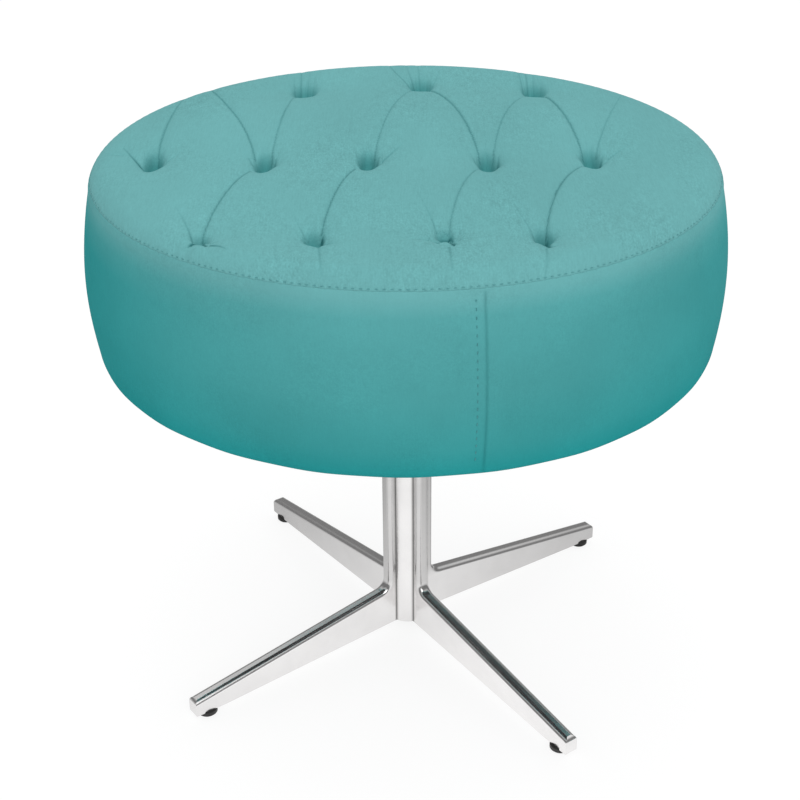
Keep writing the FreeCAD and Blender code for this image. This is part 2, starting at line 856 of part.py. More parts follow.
toggles = []
for place in tuft_places:
    toggle_place = place + Z_AXIS * toggle_bottom.number
    disc = cylinder(size.toggle_diameter, size.toggle_thickness, toggle_place)
    hole = cylinder(size.twine_diameter, size.toggle_thickness, toggle_place)
    toggles.append(cut(disc, hole))
keep(group(toggles), "tuft_toggles")

# Check every piece, then write it out

doc.recompute()
for thing in doc.Objects:
    if "Invalid" in thing.State or "Error" in thing.State:
        raise RuntimeError(f"{thing.Label} did not build: {thing.State}")
for label, piece in nodes.items():
    if piece.Shape.isNull() or not piece.Shape.isValid():
        raise RuntimeError(f"{label} is not a valid solid")

os.makedirs("parts", exist_ok=True)
for label, piece in nodes.items():
    piece.Shape.exportStep(f"parts/{label}.step")
    print(label, len(piece.Shape.Solids), "solids", round(piece.Shape.Volume), "mm3")
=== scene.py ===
# %% [markdown]
# # A tufted swivel pouf
# A round stool: a padded seat with twelve blind tufts turns on a polished four-leg base.
# The hard parts come ready-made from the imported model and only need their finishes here.
# The soft parts are made in this lesson as surfaces worked out with whole arrays of numbers,
# because cloth, folds and stitches are easier to steer by formula than by hand.

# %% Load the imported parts
import math

import bpy
import numpy as np
from mathutils import Matrix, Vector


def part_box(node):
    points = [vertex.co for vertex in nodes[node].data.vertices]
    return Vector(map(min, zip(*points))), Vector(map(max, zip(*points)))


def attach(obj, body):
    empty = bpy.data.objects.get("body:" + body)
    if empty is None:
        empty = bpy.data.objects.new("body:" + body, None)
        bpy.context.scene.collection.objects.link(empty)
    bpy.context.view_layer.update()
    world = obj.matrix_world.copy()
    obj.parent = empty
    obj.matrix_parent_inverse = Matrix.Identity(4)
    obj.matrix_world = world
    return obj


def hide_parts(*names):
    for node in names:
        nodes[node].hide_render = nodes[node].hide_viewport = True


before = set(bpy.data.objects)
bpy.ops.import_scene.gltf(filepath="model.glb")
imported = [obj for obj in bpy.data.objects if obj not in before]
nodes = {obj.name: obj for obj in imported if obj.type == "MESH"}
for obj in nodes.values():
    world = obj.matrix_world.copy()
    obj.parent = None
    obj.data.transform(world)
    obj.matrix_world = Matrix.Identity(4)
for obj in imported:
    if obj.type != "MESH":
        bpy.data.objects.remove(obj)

scene = bpy.context.scene
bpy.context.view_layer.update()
MM = 0.001

# %% [markdown]
# ## The camera
# The picture was taken from a little above the seat with a short telephoto view.
# A camera could be placed by eye, but a fit of the seat's outline, the tufts and the leg ends
# gives its place directly, so the render and the picture can be laid over each other.

# %% Set up the camera
CAMERA_PLACE = (-5.9 * MM, -1131.9 * MM, 869.2 * MM)
CAMERA_PITCH = 28.885
CAMERA_ROLL = -0.454
CAMERA_LENS = 65.25

camera_data = bpy.data.cameras.new("camera")
camera_data.lens = CAMERA_LENS
camera_data.sensor_width = 36
camera = bpy.data.objects.new("camera", camera_data)
scene.collection.objects.link(camera)
tilt = Matrix.Rotation(math.radians(90 - CAMERA_PITCH), 4, "X")
roll = Matrix.Rotation(math.radians(CAMERA_ROLL), 4, "Z")
camera.matrix_world = Matrix.Translation(CAMERA_PLACE) @ tilt @ roll
scene.camera = camera
print("camera at", [round(v, 3) for v in CAMERA_PLACE])

# %% [markdown]
# ## Sizes of the seat
# The frame says how high the seat stands, where its seam runs and how wide it is.
# Only the roundings of its outline are repeated here, in millimetres.

# %% Read the seat's sizes from the frame
SHOULDER_RADIUS = 20 * MM
EDGE_RADIUS = 8 * MM
CROWN = 4 * MM
TOP_INSET = 9 * MM
BOTTOM_INSET = 4 * MM
HEM_WIDTH = 36 * MM

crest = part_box("top_cover")[1].z
seat_bottom, seam_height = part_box("side_band")[0].z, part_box("side_band")[1].z
fullest_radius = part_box("side_band")[1].x
board_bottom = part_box("bottom_board")[0].z
board_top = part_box("top_board")[1].z
board_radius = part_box("top_board")[1].x
hoop_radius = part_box("side_hoop")[1].x
rim_height = crest - CROWN
top_radius = fullest_radius - TOP_INSET
bottom_radius = fullest_radius - BOTTOM_INSET
flat_radius = top_radius - SHOULDER_RADIUS
seam_lean = math.acos((seam_height - rim_height + SHOULDER_RADIUS) / SHOULDER_RADIUS)
seam_radius = flat_radius + SHOULDER_RADIUS * math.sin(seam_lean)
seam_reach = flat_radius + SHOULDER_RADIUS * seam_lean
print("crest", round(crest, 4), "seam ring", round(seam_radius, 4), "at", round(seam_height, 4))

# %% [markdown]
# ## Ways of making a surface
# Every soft piece is a grid of points with four-sided faces between neighbours.
# A grid can close on itself along its rows, its columns or both, which makes discs, bands and rings.

# %% Grids and meshes from arrays


def grid_faces(rows, columns, closed_rows=False, closed_columns=False):
    """Four-sided faces between neighbouring points of a grid that is stored row by row."""
    index = np.arange(rows * columns).reshape(rows, columns)
    if closed_rows:
        index = np.vstack([index, index[:1]])
    if closed_columns:
        index = np.hstack([index, index[:, :1]])
    corners = (index[:-1, :-1], index[:-1, 1:], index[1:, 1:], index[1:, :-1])
    return np.stack([corner.ravel() for corner in corners], axis=1)


def add_mesh(name, points, *face_lists):
    """A smooth-shaded object whose mesh holds the points and all the faces."""
    mesh = bpy.data.meshes.new(name)
    faces = [face for faces in face_lists for face in faces.tolist()]
    mesh.from_pydata(points.reshape(-1, 3).tolist(), [], faces)
    mesh.polygons.foreach_set("use_smooth", np.ones(len(faces), bool))
    mesh.update()
    piece = bpy.data.objects.new(name, mesh)
    scene.collection.objects.link(piece)
    print(name, len(mesh.vertices), "points", len(faces), "faces")
    return piece


def add_mask(piece, name, values):
    """A number for each point, which a material can read by its name."""
    attribute = piece.data.attributes.new(name, "FLOAT", "POINT")
    attribute.data.foreach_set("value", values.ravel().astype(np.float32))


def ring_points(turn, radius, height):
    """Points of circles about the column: one row per radius and height, one column per angle."""
    radius = np.broadcast_to(radius, np.broadcast_shapes(np.shape(radius), turn.shape))
    height = np.broadcast_to(height, radius.shape)
    return np.stack([radius * np.cos(turn), radius * np.sin(turn), height], axis=-1)


def soft_step(values):
    """0 below 0, 1 above 1, and a smooth rise between."""
    share = np.clip(values, 0, 1)
    return share * share * (3 - 2 * share)


# %% [markdown]
# ## The net of the top
# The tufted top is one round panel. A net of circles and spokes would crowd its points at the middle,
# so a square net is drawn onto the disc instead: each square ring becomes a circle.
# Near each tuft the net is gathered, so that the small folds there get more points.

# %% Lay a net over the top
NET_CELLS = 384
CLOTH_CELLS = 96
GATHER = 0.5
GATHER_RANGE = 17 * MM
GATHER_FADE = 40 * MM

# rows of tufts: how many, the first one's x, the pitch, the row's y and its bow
TUFT_ROWS = {
    "back": (3, -90 * MM, 103 * MM, 163 * MM, 16 * MM),
    "middle": (5, -200 * MM, 87 * MM, -25 * MM, -3 * MM),
    "front": (4, -145 * MM, 81 * MM, -171 * MM, -6 * MM),
}
# a hand-sewn tuft is pulled a few millimetres off its marked place
TUFT_SHIFTS = {
    "back 1": (-1, 6), "back 2": (3, 6), "back 3": (3, 3),
    "middle 1": (-3, 5), "middle 2": (0, -1), "middle 3": (-4, -1), "middle 4": (4, -6),
    "middle 5": (1, 2),
    "front 1": (-1, -13), "front 2": (-2, -4), "front 3": (10, -1.5), "front 4": (-1, -9),
}


def tuft_places():
    """Tufts by name: evenly pitched along a row, which bows as a parabola between its ends."""
    places = {}
    for row, (count, first, pitch, place, bow) in TUFT_ROWS.items():
        order = np.arange(count)
        bowed = place + bow * (1 - (2 * order / (count - 1) - 1) ** 2)
        for number, spot in enumerate(zip(first + pitch * order, bowed), start=1):
            name = f"{row} {number}"
            places[name] = np.array(spot) + np.array(TUFT_SHIFTS[name]) * MM
    return places


def disc_net(cells):
    """A square net on a unit disc: a square ring becomes a circle, the way along it an angle."""
    line = np.linspace(-1, 1, cells + 1)
    across, along = np.meshgrid(line, line)
    wide = np.abs(across) >= np.abs(along)
    ring = np.where(wide, across, along)
    other = np.where(wide, along, across)
    share = np.divide(other, ring, out=np.zeros_like(ring), where=ring != 0)
    turn = np.where(wide, share * np.pi / 4, np.pi / 2 - share * np.pi / 4)
    return ring * np.cos(turn), ring * np.sin(turn)


def top_net(cells):
    """Places on the top, measured along its surface, with the net drawn towards each tuft."""
    across, along = disc_net(cells)
    px, py = across * seam_reach, along * seam_reach
    room = soft_step((seam_reach - np.hypot(px, py)) / GATHER_FADE)
    for spot in tufts.values():
        dx, dy = px - spot[0], py - spot[1]
        pull = GATHER * room * np.exp(-(dx ** 2 + dy ** 2) / (2 * GATHER_RANGE ** 2))
        px, py = px - pull * dx, py - pull * dy
    return px, py


tufts = tuft_places()
print({name: [round(v * 1000) for v in spot] for name, spot in tufts.items()})

# %% [markdown]
# ## The plain form of the top
# Without its tufts the top is a low crown that rolls over a rounded shoulder down to the seam.
# A place on it is known by its reach, the way along the surface from the middle.

# %% The crown and the shoulder


def top_form(px, py):
    """Points and outward directions of the plain top.

    The crown falls as a cosine from the crest to the rim. Past the rim the surface turns over
    a quarter circle, so its lean is the way past the rim divided by the circle's radius.
    """
    reach = np.hypot(px, py)
    out_x = np.divide(px, reach, out=np.zeros_like(px), where=reach > 0)
    out_y = np.divide(py, reach, out=np.zeros_like(py), where=reach > 0)
    lean = np.clip((reach - flat_radius) / SHOULDER_RADIUS, 0, None)
    radius = np.minimum(reach, flat_radius) + SHOULDER_RADIUS * np.sin(lean)
    crown = CROWN * (1 + np.cos(np.pi * np.minimum(reach / flat_radius, 1))) / 2
    height = rim_height + crown - SHOULDER_RADIUS * (1 - np.cos(lean))
    points = np.stack([radius * out_x, radius * out_y, height], axis=-1)
    outward = np.stack([np.sin(lean) * out_x, np.sin(lean) * out_y, np.cos(lean)], axis=-1)
    return points, outward


print("way along the top to its rim", round(flat_radius, 4), "and to the seam", round(seam_reach, 4))

# %% [markdown]
# ## Tufts
# A tuft is cloth pulled down by a twine: a wide shallow dish with a steep little pit in its middle.
# The pit is a scoop. Its near lip is crisp and its far wall slopes,
# because the cloth is drawn in from behind.

# %% Dishes and pits
DISH_DEPTH = 3.5 * MM
DISH_RADIUS = 27 * MM
DISH_FADE = 45 * MM
PIT_STEEPNESS = 5
# the pit of each row, or of one tuft: depth, half width, and its reach to the near and the far side
PITS = {
    "back": (11 * MM, 9 * MM, 16 * MM, 20 * MM),
    "middle": (12 * MM, 6.3 * MM, 17 * MM, 22 * MM),
    "front": (9 * MM, 6 * MM, 9 * MM, 12 * MM),
    "front 1": (6 * MM, 5.5 * MM, 3 * MM, 10 * MM),
    "front 3": (6 * MM, 5.5 * MM, 3 * MM, 10 * MM),
}
# a lobe of cloth that bulges over the near lip: its place from the tuft, height and radius
LOBES = {
    "front 1": ((0, -15 * MM), 1.5 * MM, 6 * MM),
    "front 3": ((-1 * MM, -15 * MM), 1.5 * MM, 6 * MM),
}


def tuft_lift(px, py):
    """How far the tufts pull the surface down.

    The dish is a bell curve of the distance, which fades out at the rim. The pit is one over one plus
    a power of the distance, with its own half axis to each side, to the front and to the back.
    A lobe is a small bell curve that rises.
    """
    lift = np.zeros_like(px)
    room = soft_step((seam_reach - np.hypot(px, py)) / DISH_FADE)
    for name, spot in tufts.items():
        depth, wide, near, far = PITS.get(name, PITS[name.split()[0]])
        dx, dy = px - spot[0], py - spot[1]
        lift -= DISH_DEPTH * room * np.exp(-(dx ** 2 + dy ** 2) / DISH_RADIUS ** 2)
        lift -= depth / (1 + np.hypot(dx / wide, dy / np.where(dy > 0, far, near)) ** PIT_STEEPNESS)
    for name, (way, height, radius) in LOBES.items():
        dx, dy = px - tufts[name][0] - way[0], py - tufts[name][1] - way[1]
        lift += height * np.exp(-(dx ** 2 + dy ** 2) / radius ** 2)
    return lift


print("deepest tuft", round(DISH_DEPTH + max(pit[0] for pit in PITS.values()), 4))

# %% [markdown]
# ## Folds between the tufts
# Where the cloth has more length than it needs it folds into a crease that runs from tuft to tuft.
# A crease leaves the upper tuft sideways and drops into the lower one from above, so each is
# one bent curve with three points. Others run to the rim or die away in the plain cloth,
# and short ones are the pleats that gather round a tuft. They could be drawn by hand as strokes.
# Lists of points by tuft are easier to correct, because a crease moves with its tuft.

# %% List the creases
SLIT, BOLD, MEDIUM, FAINT = 3.4 * MM, 2.2 * MM, 1.7 * MM, 1.2 * MM

# creases from an upper tuft to a lower one: the side it leaves by, and its depth
TUFT_CREASES = [
    ("back 1", "middle 2", -1, MEDIUM),
    ("back 2", "middle 3", -1, MEDIUM),
    ("back 2", "middle 4", 1, BOLD),
    ("back 3", "middle 4", -1, MEDIUM),
    ("back 3", "middle 5", 1, BOLD),
    ("middle 2", "front 1", -1, BOLD),
    ("middle 3", "front 2", -1, BOLD),
    ("middle 4", "front 3", -1, MEDIUM),
    ("middle 5", "front 4", -1, BOLD),
]
# creases of one tuft in millimetres from it: start, sideways bend and end,
# then the depth and the share of it that is left at the end
FREE_CREASES = {
    "back 1": [((-9, 2), (0, 0), (-12, 58), FAINT, 0.5), ((-4, 4), (0, 0), (-6, 66), MEDIUM, 0.8),
               ((1, 4), (0, 0), (3, 58), MEDIUM, 0.2), ((6, 3), (0, 0), (9, 52), FAINT, 0.2)],
    "back 2": [((-10, 2), (-5, 0), (-30, 58), MEDIUM, 0.7), ((-5, 4), (-2, 0), (-14, 56), MEDIUM, 0.3),
               ((0, 4), (0, 0), (-3, 58), MEDIUM, 0.5), ((5, 4), (0, 0), (6, 44), FAINT, 0.0),
               ((10, 2), (3, 0), (18, 44), FAINT, 0.0)],
    "back 3": [((-9, 2), (0, 0), (-12, 66), MEDIUM, 0.6), ((-4, 4), (0, 0), (-5, 66), MEDIUM, 0.8),
               ((1, 4), (0, 0), (2, 52), MEDIUM, 0.2), ((6, 3), (0, 0), (9, 44), FAINT, 0.0)],
    "middle 1": [((2, 10), (-5, -4), (5, 168), BOLD, 0.7), ((-8, -6), (0, 0), (-28, 28), SLIT, 0.3),
                 ((5, -5), (0, 0), (7, 12), SLIT, 0.1),
                 ((-24, 10), (0, 0), (-50, 8), FAINT, 0.5), ((7, -3), (2, 0), (22, 22), MEDIUM, 0.0),
                 ((4, 2), (0, 0), (12, 26), FAINT, 0.0)],
    "middle 2": [((-8, 12), (16, -14), (-68, 206), BOLD, 1.0),
                 ((-9, 0), (0, 0), (-20, 32), MEDIUM, 0.1),
                 ((-6, 3), (0, 0), (-13, 28), FAINT, 0.0), ((8, -4), (1, 0), (9, 26), SLIT, 0.0),
                 ((4, -2), (0, 0), (4, 20), BOLD, 0.1)],
    "middle 3": [((8, -5), (2, 0), (27, 28), BOLD, 0.2), ((6, -4), (0, 0), (10, 18), SLIT, 0.0),
                 ((-7, 2), (0, 0), (-12, 28), FAINT, 0.0), ((2, 0), (0, 0), (3, 20), MEDIUM, 0.0)],
    "middle 4": [((-9, 0), (0, 0), (-15, 33), MEDIUM, 0.1), ((-5, 3), (0, 0), (-7, 28), FAINT, 0.0),
                 ((8, -4), (1, 0), (10, 26), SLIT, 0.0), ((4, -2), (0, 0), (4, 20), BOLD, 0.1)],
    "middle 5": [((9, -4), (2, 0), (33, 27), MEDIUM, 0.2), ((5, 12), (-7, -13), (46, 163), MEDIUM, 0.6),
                 ((-8, 0), (0, 0), (-14, 26), FAINT, 0.0), ((6, -5), (0, 0), (12, 16), SLIT, 0.0),
                 ((1, -3), (0, 0), (1, 14), MEDIUM, 0.1)],
    "front 1": [((-4.5, -3), (4, -3), (-25, 58), BOLD, 0.2),
                ((-6, -11), (-1, 1), (-3.7, -5.5), SLIT, 1.0),
                ((-3.7, -5.5), (0, 1.5), (2.5, -6.5), SLIT, 1.0),
                ((2.5, -6.5), (1, 0), (5.5, -13), SLIT, 0.9),
                ((0.5, 7), (0, 0), (2.5, -6.5), SLIT, 1.0), ((7, -6), (0, 0), (5, 6), BOLD, 0.2),
                ((7.5, -10.5), (2, 3), (22, -23), SLIT, 0.2)],
    "front 2": [((-6, 5), (-2, 0), (-18, 42), FAINT, 0.2), ((5, 9), (1, 0), (6, -9), SLIT, 0.7),
                ((-6, 4), (-1, 0), (-6, -6), FAINT, 0.5), ((7, -8), (0, 1), (16, -14), BOLD, 0.2),
                ((4, -11), (0, 0), (8, -64), MEDIUM, 0.5)],
    "front 3": [((-5, 2), (2, -2), (-19, 71), MEDIUM, 0.2),
                ((-6.5, -13), (-1, 1), (-3.5, -7), SLIT, 1.0),
                ((-3.5, -7), (0, 1.5), (2, -6), SLIT, 1.0), ((2, -6), (1, 1), (6, -18), SLIT, 0.9),
                ((-6, -8), (0, 1), (-26, -13), BOLD, 0.2), ((7, -8), (0, 0), (8, 6), BOLD, 0.2),
                ((9, 2), (1, 0), (11, 28), FAINT, 0.0), ((2, -22), (0, 0), (3, -66), MEDIUM, 0.5)],
    "front 4": [((-7, 5), (-2, 0), (-19, 58), FAINT, 0.3), ((2, 9), (-1, 0), (2, -19), SLIT, 0.9),
                ((-6, 5), (0, 0), (-7, -12), MEDIUM, 0.6), ((3, -19), (0, 1), (11, -22), BOLD, 0.0),
                ((7, 0), (1, 0), (9, 20), FAINT, 0.0), ((-1, -24), (0, 0), (-3, -60), MEDIUM, 0.4)],
}
# painted shadow under a lip of cloth: written as the creases are, it is painted as a dark line and
# sinks nothing
LIP_SHADOW_LINES = {
    "front 3": [((-5.6, -8), (-0.6, 7.2), (-1, 4.8), BOLD, 1.0),
                ((-1, 4.8), (0, 0.5), (2.3, 4.6), BOLD, 1.0),
                ((2.3, 4.6), (1.1, 6.4), (5, -12), SLIT, 0.9)],
}
print(len(TUFT_CREASES), "creases between tufts,", sum(map(len, FREE_CREASES.values())), "of one tuft")

# %% [markdown]
# ## From lists to folds
# A fold is more than a line of painted shade: the cloth dips towards it, and one side lies over the
# other.
# So the same curves sink the net, and also leave two numbers on its points, from which
# the finish paints each line's shade finer than the net is.

# %% Sink the creases into the net
BEND = 0.35
CREASE_STEPS = 64
CREASE_REACH = 24 * MM
CREASE_WIDTH = 1.3 * MM
CREASE_FADE = 50 * MM
VALLEY_WIDTH = 6 * MM
CUSP_SHARE, BELL_SHARE = 0.6, 0.4
RIM_SHARE = 0.15
LIP_WIDTH = 4 * MM
LIP_SHARE = 0.25
LINE_POWER = 1.5
LIP_CORNER = np.array((8 * MM, -15 * MM))
# where the crease from above ends in a tuft, in millimetres
PIT_TOP = (5, 10)
PIT_TOPS = {"front 1": (0.5, 6), "front 3": (2.5, 4), "front 4": (2, 8)}


def crease_paths():
    """Each crease as start, bend and end, its depth, the share that its end keeps, and if it sinks.

    A crease between tufts bends part of the way towards the corner above its end.
    The bend of the others is the middle of start and end, moved by the way in the list.
    """
    paths = []
    for upper, lower, side, depth in TUFT_CREASES:
        start = tufts[upper] + LIP_CORNER * (side, 1)
        end = tufts[lower] + np.array(PIT_TOPS.get(lower, PIT_TOP)) * (-side, 1) * MM
        corner = np.array((end[0], start[1]))
        paths.append((start, (1 - BEND) * (start + end) / 2 + BEND * corner, end, depth, 1.0, 1))
    for family, sinks in ((FREE_CREASES, 1), (LIP_SHADOW_LINES, 0)):
        for spot, creases in ((tufts[name], creases) for name, creases in family.items()):
            for start, bend, end, depth, end_share in creases:
                start, bend, end = (np.array(way) * MM for way in (start, bend, end))
                middle = (start + end) / 2 + bend
                paths.append((spot + start, spot + middle, spot + end, depth, end_share, sinks))
    return paths


def crease_field(px, py):
    """How far the creases pull the surface down, and where their lines run.

    Across a crease the depth is a sharp cusp plus a wider bell, and one side stands a little higher
    than the other, as in a fold that lies over. Along it the depth keeps up, or fades to its end.
    The line is given as the distance from the strongest crease near by, with a sign for its side,
    and as that crease's strength, so a material can paint its shade as a line finer than the net.
    """
    lift, offset, weight, best = (np.zeros_like(px) for _ in range(4))
    share = np.linspace(0, 1, CREASE_STEPS)[:, None]
    inside = soft_step((seam_reach - np.hypot(px, py)) / CREASE_FADE)
    room = RIM_SHARE + (1 - RIM_SHARE) * inside
    for start, bend, end, depth, end_share, sinks in crease_paths():
        path = (1 - share) ** 2 * start + 2 * share * (1 - share) * bend + share ** 2 * end
        heading = np.gradient(path, axis=0)
        low, high = path.min(0) - CREASE_REACH, path.max(0) + CREASE_REACH
        near = (px > low[0]) & (px < high[0]) & (py > low[1]) & (py < high[1])
        dx = px[near][:, None] - path[:, 0]
        dy = py[near][:, None] - path[:, 1]
        nearest = np.argmin(dx ** 2 + dy ** 2, axis=1)
        pick = np.arange(len(nearest)), nearest
        gap = np.hypot(dx[pick], dy[pick])
        side = np.sign(heading[nearest, 0] * dy[pick] - heading[nearest, 1] * dx[pick])
        way = share[nearest, 0]
        strength = depth * (1 - (1 - end_share) * way)
        cusp = np.exp(-gap / CREASE_WIDTH)
        bell = np.exp(-(gap / VALLEY_WIDTH) ** 2)
        valley = CUSP_SHARE * cusp + BELL_SHARE * bell
        lip = LIP_SHARE * side * (1 - cusp) * np.exp(-(gap / LIP_WIDTH) ** 2)
        lift[near] += sinks * strength * (lip - valley) * room[near]
        shown = (strength / BOLD) ** LINE_POWER * ((nearest > 0) & (nearest < CREASE_STEPS - 1))
        pull = shown * bell
        stronger = pull > best[near]
        best[near] = np.where(stronger, pull, best[near])
        offset[near] = np.where(stronger, side * gap, offset[near])
        weight[near] = np.where(stronger, shown, weight[near])
    return lift, offset, weight


print(len(crease_paths()), "curves in all")

# %% [markdown]
# ## Letting the cloth swell
# Foam pushes the cover out between the tufts. The bulge could be drawn by hand, but cloth that is
# held at the tufts and at the rim and blown up a little finds it by itself.
# A coarse net of the top is simulated, and its movement is carried over to the fine net.

# %% Blow the cover up over its foam
CLOTH_SETTINGS = {
    "quality": 6, "mass": 0.3, "tension_stiffness": 25, "compression_stiffness": 25,
    "bending_stiffness": 1.5, "use_pressure": True, "uniform_pressure_force": 4,
    "vertex_group_mass": "held",
}
CLOTH_FRAMES = 20
SWELL_CAP = 5 * MM
HOLD_RADIUS = 14 * MM


def cloth_swell(points, held):
    """Where each point of a net moves when the cloth is held at some points and pressed from within."""
    rows, columns = held.shape
    piece = add_mesh("cloth_try", points, grid_faces(rows, columns))
    group = piece.vertex_groups.new(name="held")
    group.add(np.flatnonzero(held.ravel()).tolist(), 1.0, "REPLACE")
    cloth = piece.modifiers.new("cloth", "CLOTH")
    for setting, value in CLOTH_SETTINGS.items():
        setattr(cloth.settings, setting, value)
    cloth.settings.effector_weights.gravity = 0
    cloth.point_cache.frame_start = 1
    cloth.point_cache.frame_end = CLOTH_FRAMES
    for step in range(1, CLOTH_FRAMES + 1):
        scene.frame_set(step)
    shown = piece.evaluated_get(bpy.context.evaluated_depsgraph_get()).data
    moved = np.empty(rows * columns * 3)
    shown.vertices.foreach_get("co", moved)
    scene.frame_set(1)
    bpy.data.objects.remove(piece)
    swell = moved.reshape(points.shape) - points
    far = np.linalg.norm(swell, axis=-1, keepdims=True)
    print("cloth moved", round(float(far.max()) * 1000, 1), "mm at most")
    return swell * np.minimum(1, SWELL_CAP / np.maximum(far, 1e-9))


def cubic_weights(coarse, fine):
    """A matrix that reads a fine row of values off a coarse one by cubic interpolation."""
    place = np.linspace(0, coarse - 1, fine)
    base = np.minimum(place.astype(int), coarse - 2)
    f = place - base
    weights = np.zeros((fine, coarse))
    parts = (-f + 2 * f ** 2 - f ** 3, 2 - 5 * f ** 2 + 3 * f ** 3,
             f + 4 * f ** 2 - 3 * f ** 3, f ** 3 - f ** 2)
    for offset, part in zip((-1, 0, 1, 2), parts):
        np.add.at(weights, (np.arange(fine), np.clip(base + offset, 0, coarse - 1)), part / 2)
    return weights


def top_swell():
    """The simulated bulge of the top, read off for every point of the fine net."""
    px, py = top_net(CLOTH_CELLS)
    points, outward = top_form(px, py)
    points = points + outward * tuft_lift(px, py)[..., None]
    held = np.hypot(px, py) > flat_radius
    for spot in tufts.values():
        held |= np.hypot(px - spot[0], py - spot[1]) < HOLD_RADIUS
    weights = cubic_weights(CLOTH_CELLS + 1, NET_CELLS + 1)
    return np.einsum("ij,jkc,lk->ilc", weights, cloth_swell(points, held), weights)


swell = top_swell()
print("swell", round(float(np.abs(swell).max()) * 1000, 2), "mm")

# %% [markdown]
# ## The seam ring
# The top panel is sewn to the side band and then top-stitched just above the seam.
# The thread pulls a shallow trough into the cover, with a dimple at every needle hole.

# %% The trough of the top-stitching
STITCH_PITCH = 5.3 * MM
STITCH_DROP = 1.6 * MM
TROUGH_DEPTH = 0.45 * MM
TROUGH_WIDTH = 1.6 * MM
PUCKER_HEIGHT = 0.15 * MM
PUCKER_FADE = 12 * MM
ring_stitches = round(2 * np.pi * seam_radius / STITCH_PITCH)


def seam_lift(px, py):
    """A trough along the stitches that deepens at each needle hole, with puckers that fade above it."""
    below = seam_reach - np.hypot(px, py)
    turn = np.arctan2(py, px)
    holes = 0.6 - 0.4 * np.cos(ring_stitches * turn)
    trough = -TROUGH_DEPTH * holes * np.exp(-((below - STITCH_DROP) / TROUGH_WIDTH) ** 2)
    pucker = PUCKER_HEIGHT * np.cos(ring_stitches * turn / 2) * np.exp(-below / PUCKER_FADE)
    return trough + pucker


print(ring_stitches, "stitches in the ring")

# %% [markdown]
# ## The seat's top pad
# Plain form, tufts, creases, swell and seam add up to the finished top.
# Below the seam the pad goes on inside the band, down to the board that it rests on, so it is closed.

# %% Make the top pad
# rings of the tuck in millimetres from the seam, outwards and up
TUCK = [(-1.2, -0.6), (-4.0, -1.4), (-5.8, -4.0)]
PAD_CLEARANCE = 0.4 * MM


def boundary_loop(cells):
    """Places of the net's outermost points in its list, counter-clockwise."""
    index = np.arange((cells + 1) ** 2).reshape(cells + 1, cells + 1)
    return np.concatenate([index[0, :-1], index[:-1, -1], index[-1, :0:-1], index[:0:-1, 0]])


def make_top_pad():
    """The net lifted along its outward directions, with rings below the seam and a flat underside."""
    px, py = top_net(NET_CELLS)
    points, outward = top_form(px, py)
    folds, offset, weight = crease_field(px, py)
    sunk = tuft_lift(px, py)
    lift = sunk + folds + seam_lift(px, py)
    points = points + swell + outward * lift[..., None]
    count = points.shape[0] * points.shape[1]

    # the tuck below the seam, the hidden wall and the flat underside
    loop = boundary_loop(NET_CELLS)
    turn = np.arctan2(py.ravel()[loop], px.ravel()[loop])
    rings = [(seam_radius + out * MM, seam_height + up * MM) for out, up in TUCK]
    wall = rings[-1][0]
    floor = board_top + PAD_CLEARANCE
    rings += [(wall, floor + 3 * MM), (wall - 2 * MM, floor), (wall / 2, floor), (wall / 8, floor)]
    radius, height = np.array(rings).T[:, :, None]
    lower = ring_points(turn, radius, height)
    around = len(loop)
    steps = grid_faces(len(rings), around, closed_columns=True)[:, ::-1] + count
    loops = np.stack([loop, np.roll(loop, -1)])
    first = count + np.stack([np.arange(around), np.roll(np.arange(around), -1)])
    join = np.stack([loops[1], loops[0], first[0], first[1]], axis=1)
    last = count + (len(rings) - 1) * around + np.arange(around)
    pole = count + len(rings) * around
    cap = np.stack([np.roll(last, -1), last, np.full(around, pole)], axis=1)
    everything = np.concatenate([points.reshape(-1, 3), lower.reshape(-1, 3), [[0, 0, floor]]])
    net = grid_faces(NET_CELLS + 1, NET_CELLS + 1)
    piece = add_mesh("seat_top_pad", everything, net, join, steps, cap)
    hidden = np.zeros(len(everything) - count)
    for label, values in (("fold_offset", offset / MM), ("fold_weight", weight), ("pit", -sunk / MM)):
        add_mask(piece, label, np.concatenate([values.ravel(), hidden]))
    return piece


top_pad = make_top_pad()
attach(top_pad, "seat")
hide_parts("top_cover", "top_foam")

# %% [markdown]
# ## The side band
# One strip of cloth goes round the padded side, closes in a single upright seam at the front,
# and is turned under the seat and stapled. It is a closed outline carried round the column,
# with points crowded at the seam so that the sewn valley stays crisp.

# %% Outline of the band
BAND_COLUMNS = 960
HEM_POINTS, EDGE_POINTS, SIDE_POINTS, SHOULDER_POINTS = 12, 13, 47, 10
INNER_GAP = 0.3 * MM
SIDE_SEAM = math.radians(-78.3)
SEAM_GATHER = 0.6
SEAM_RANGE = 0.06


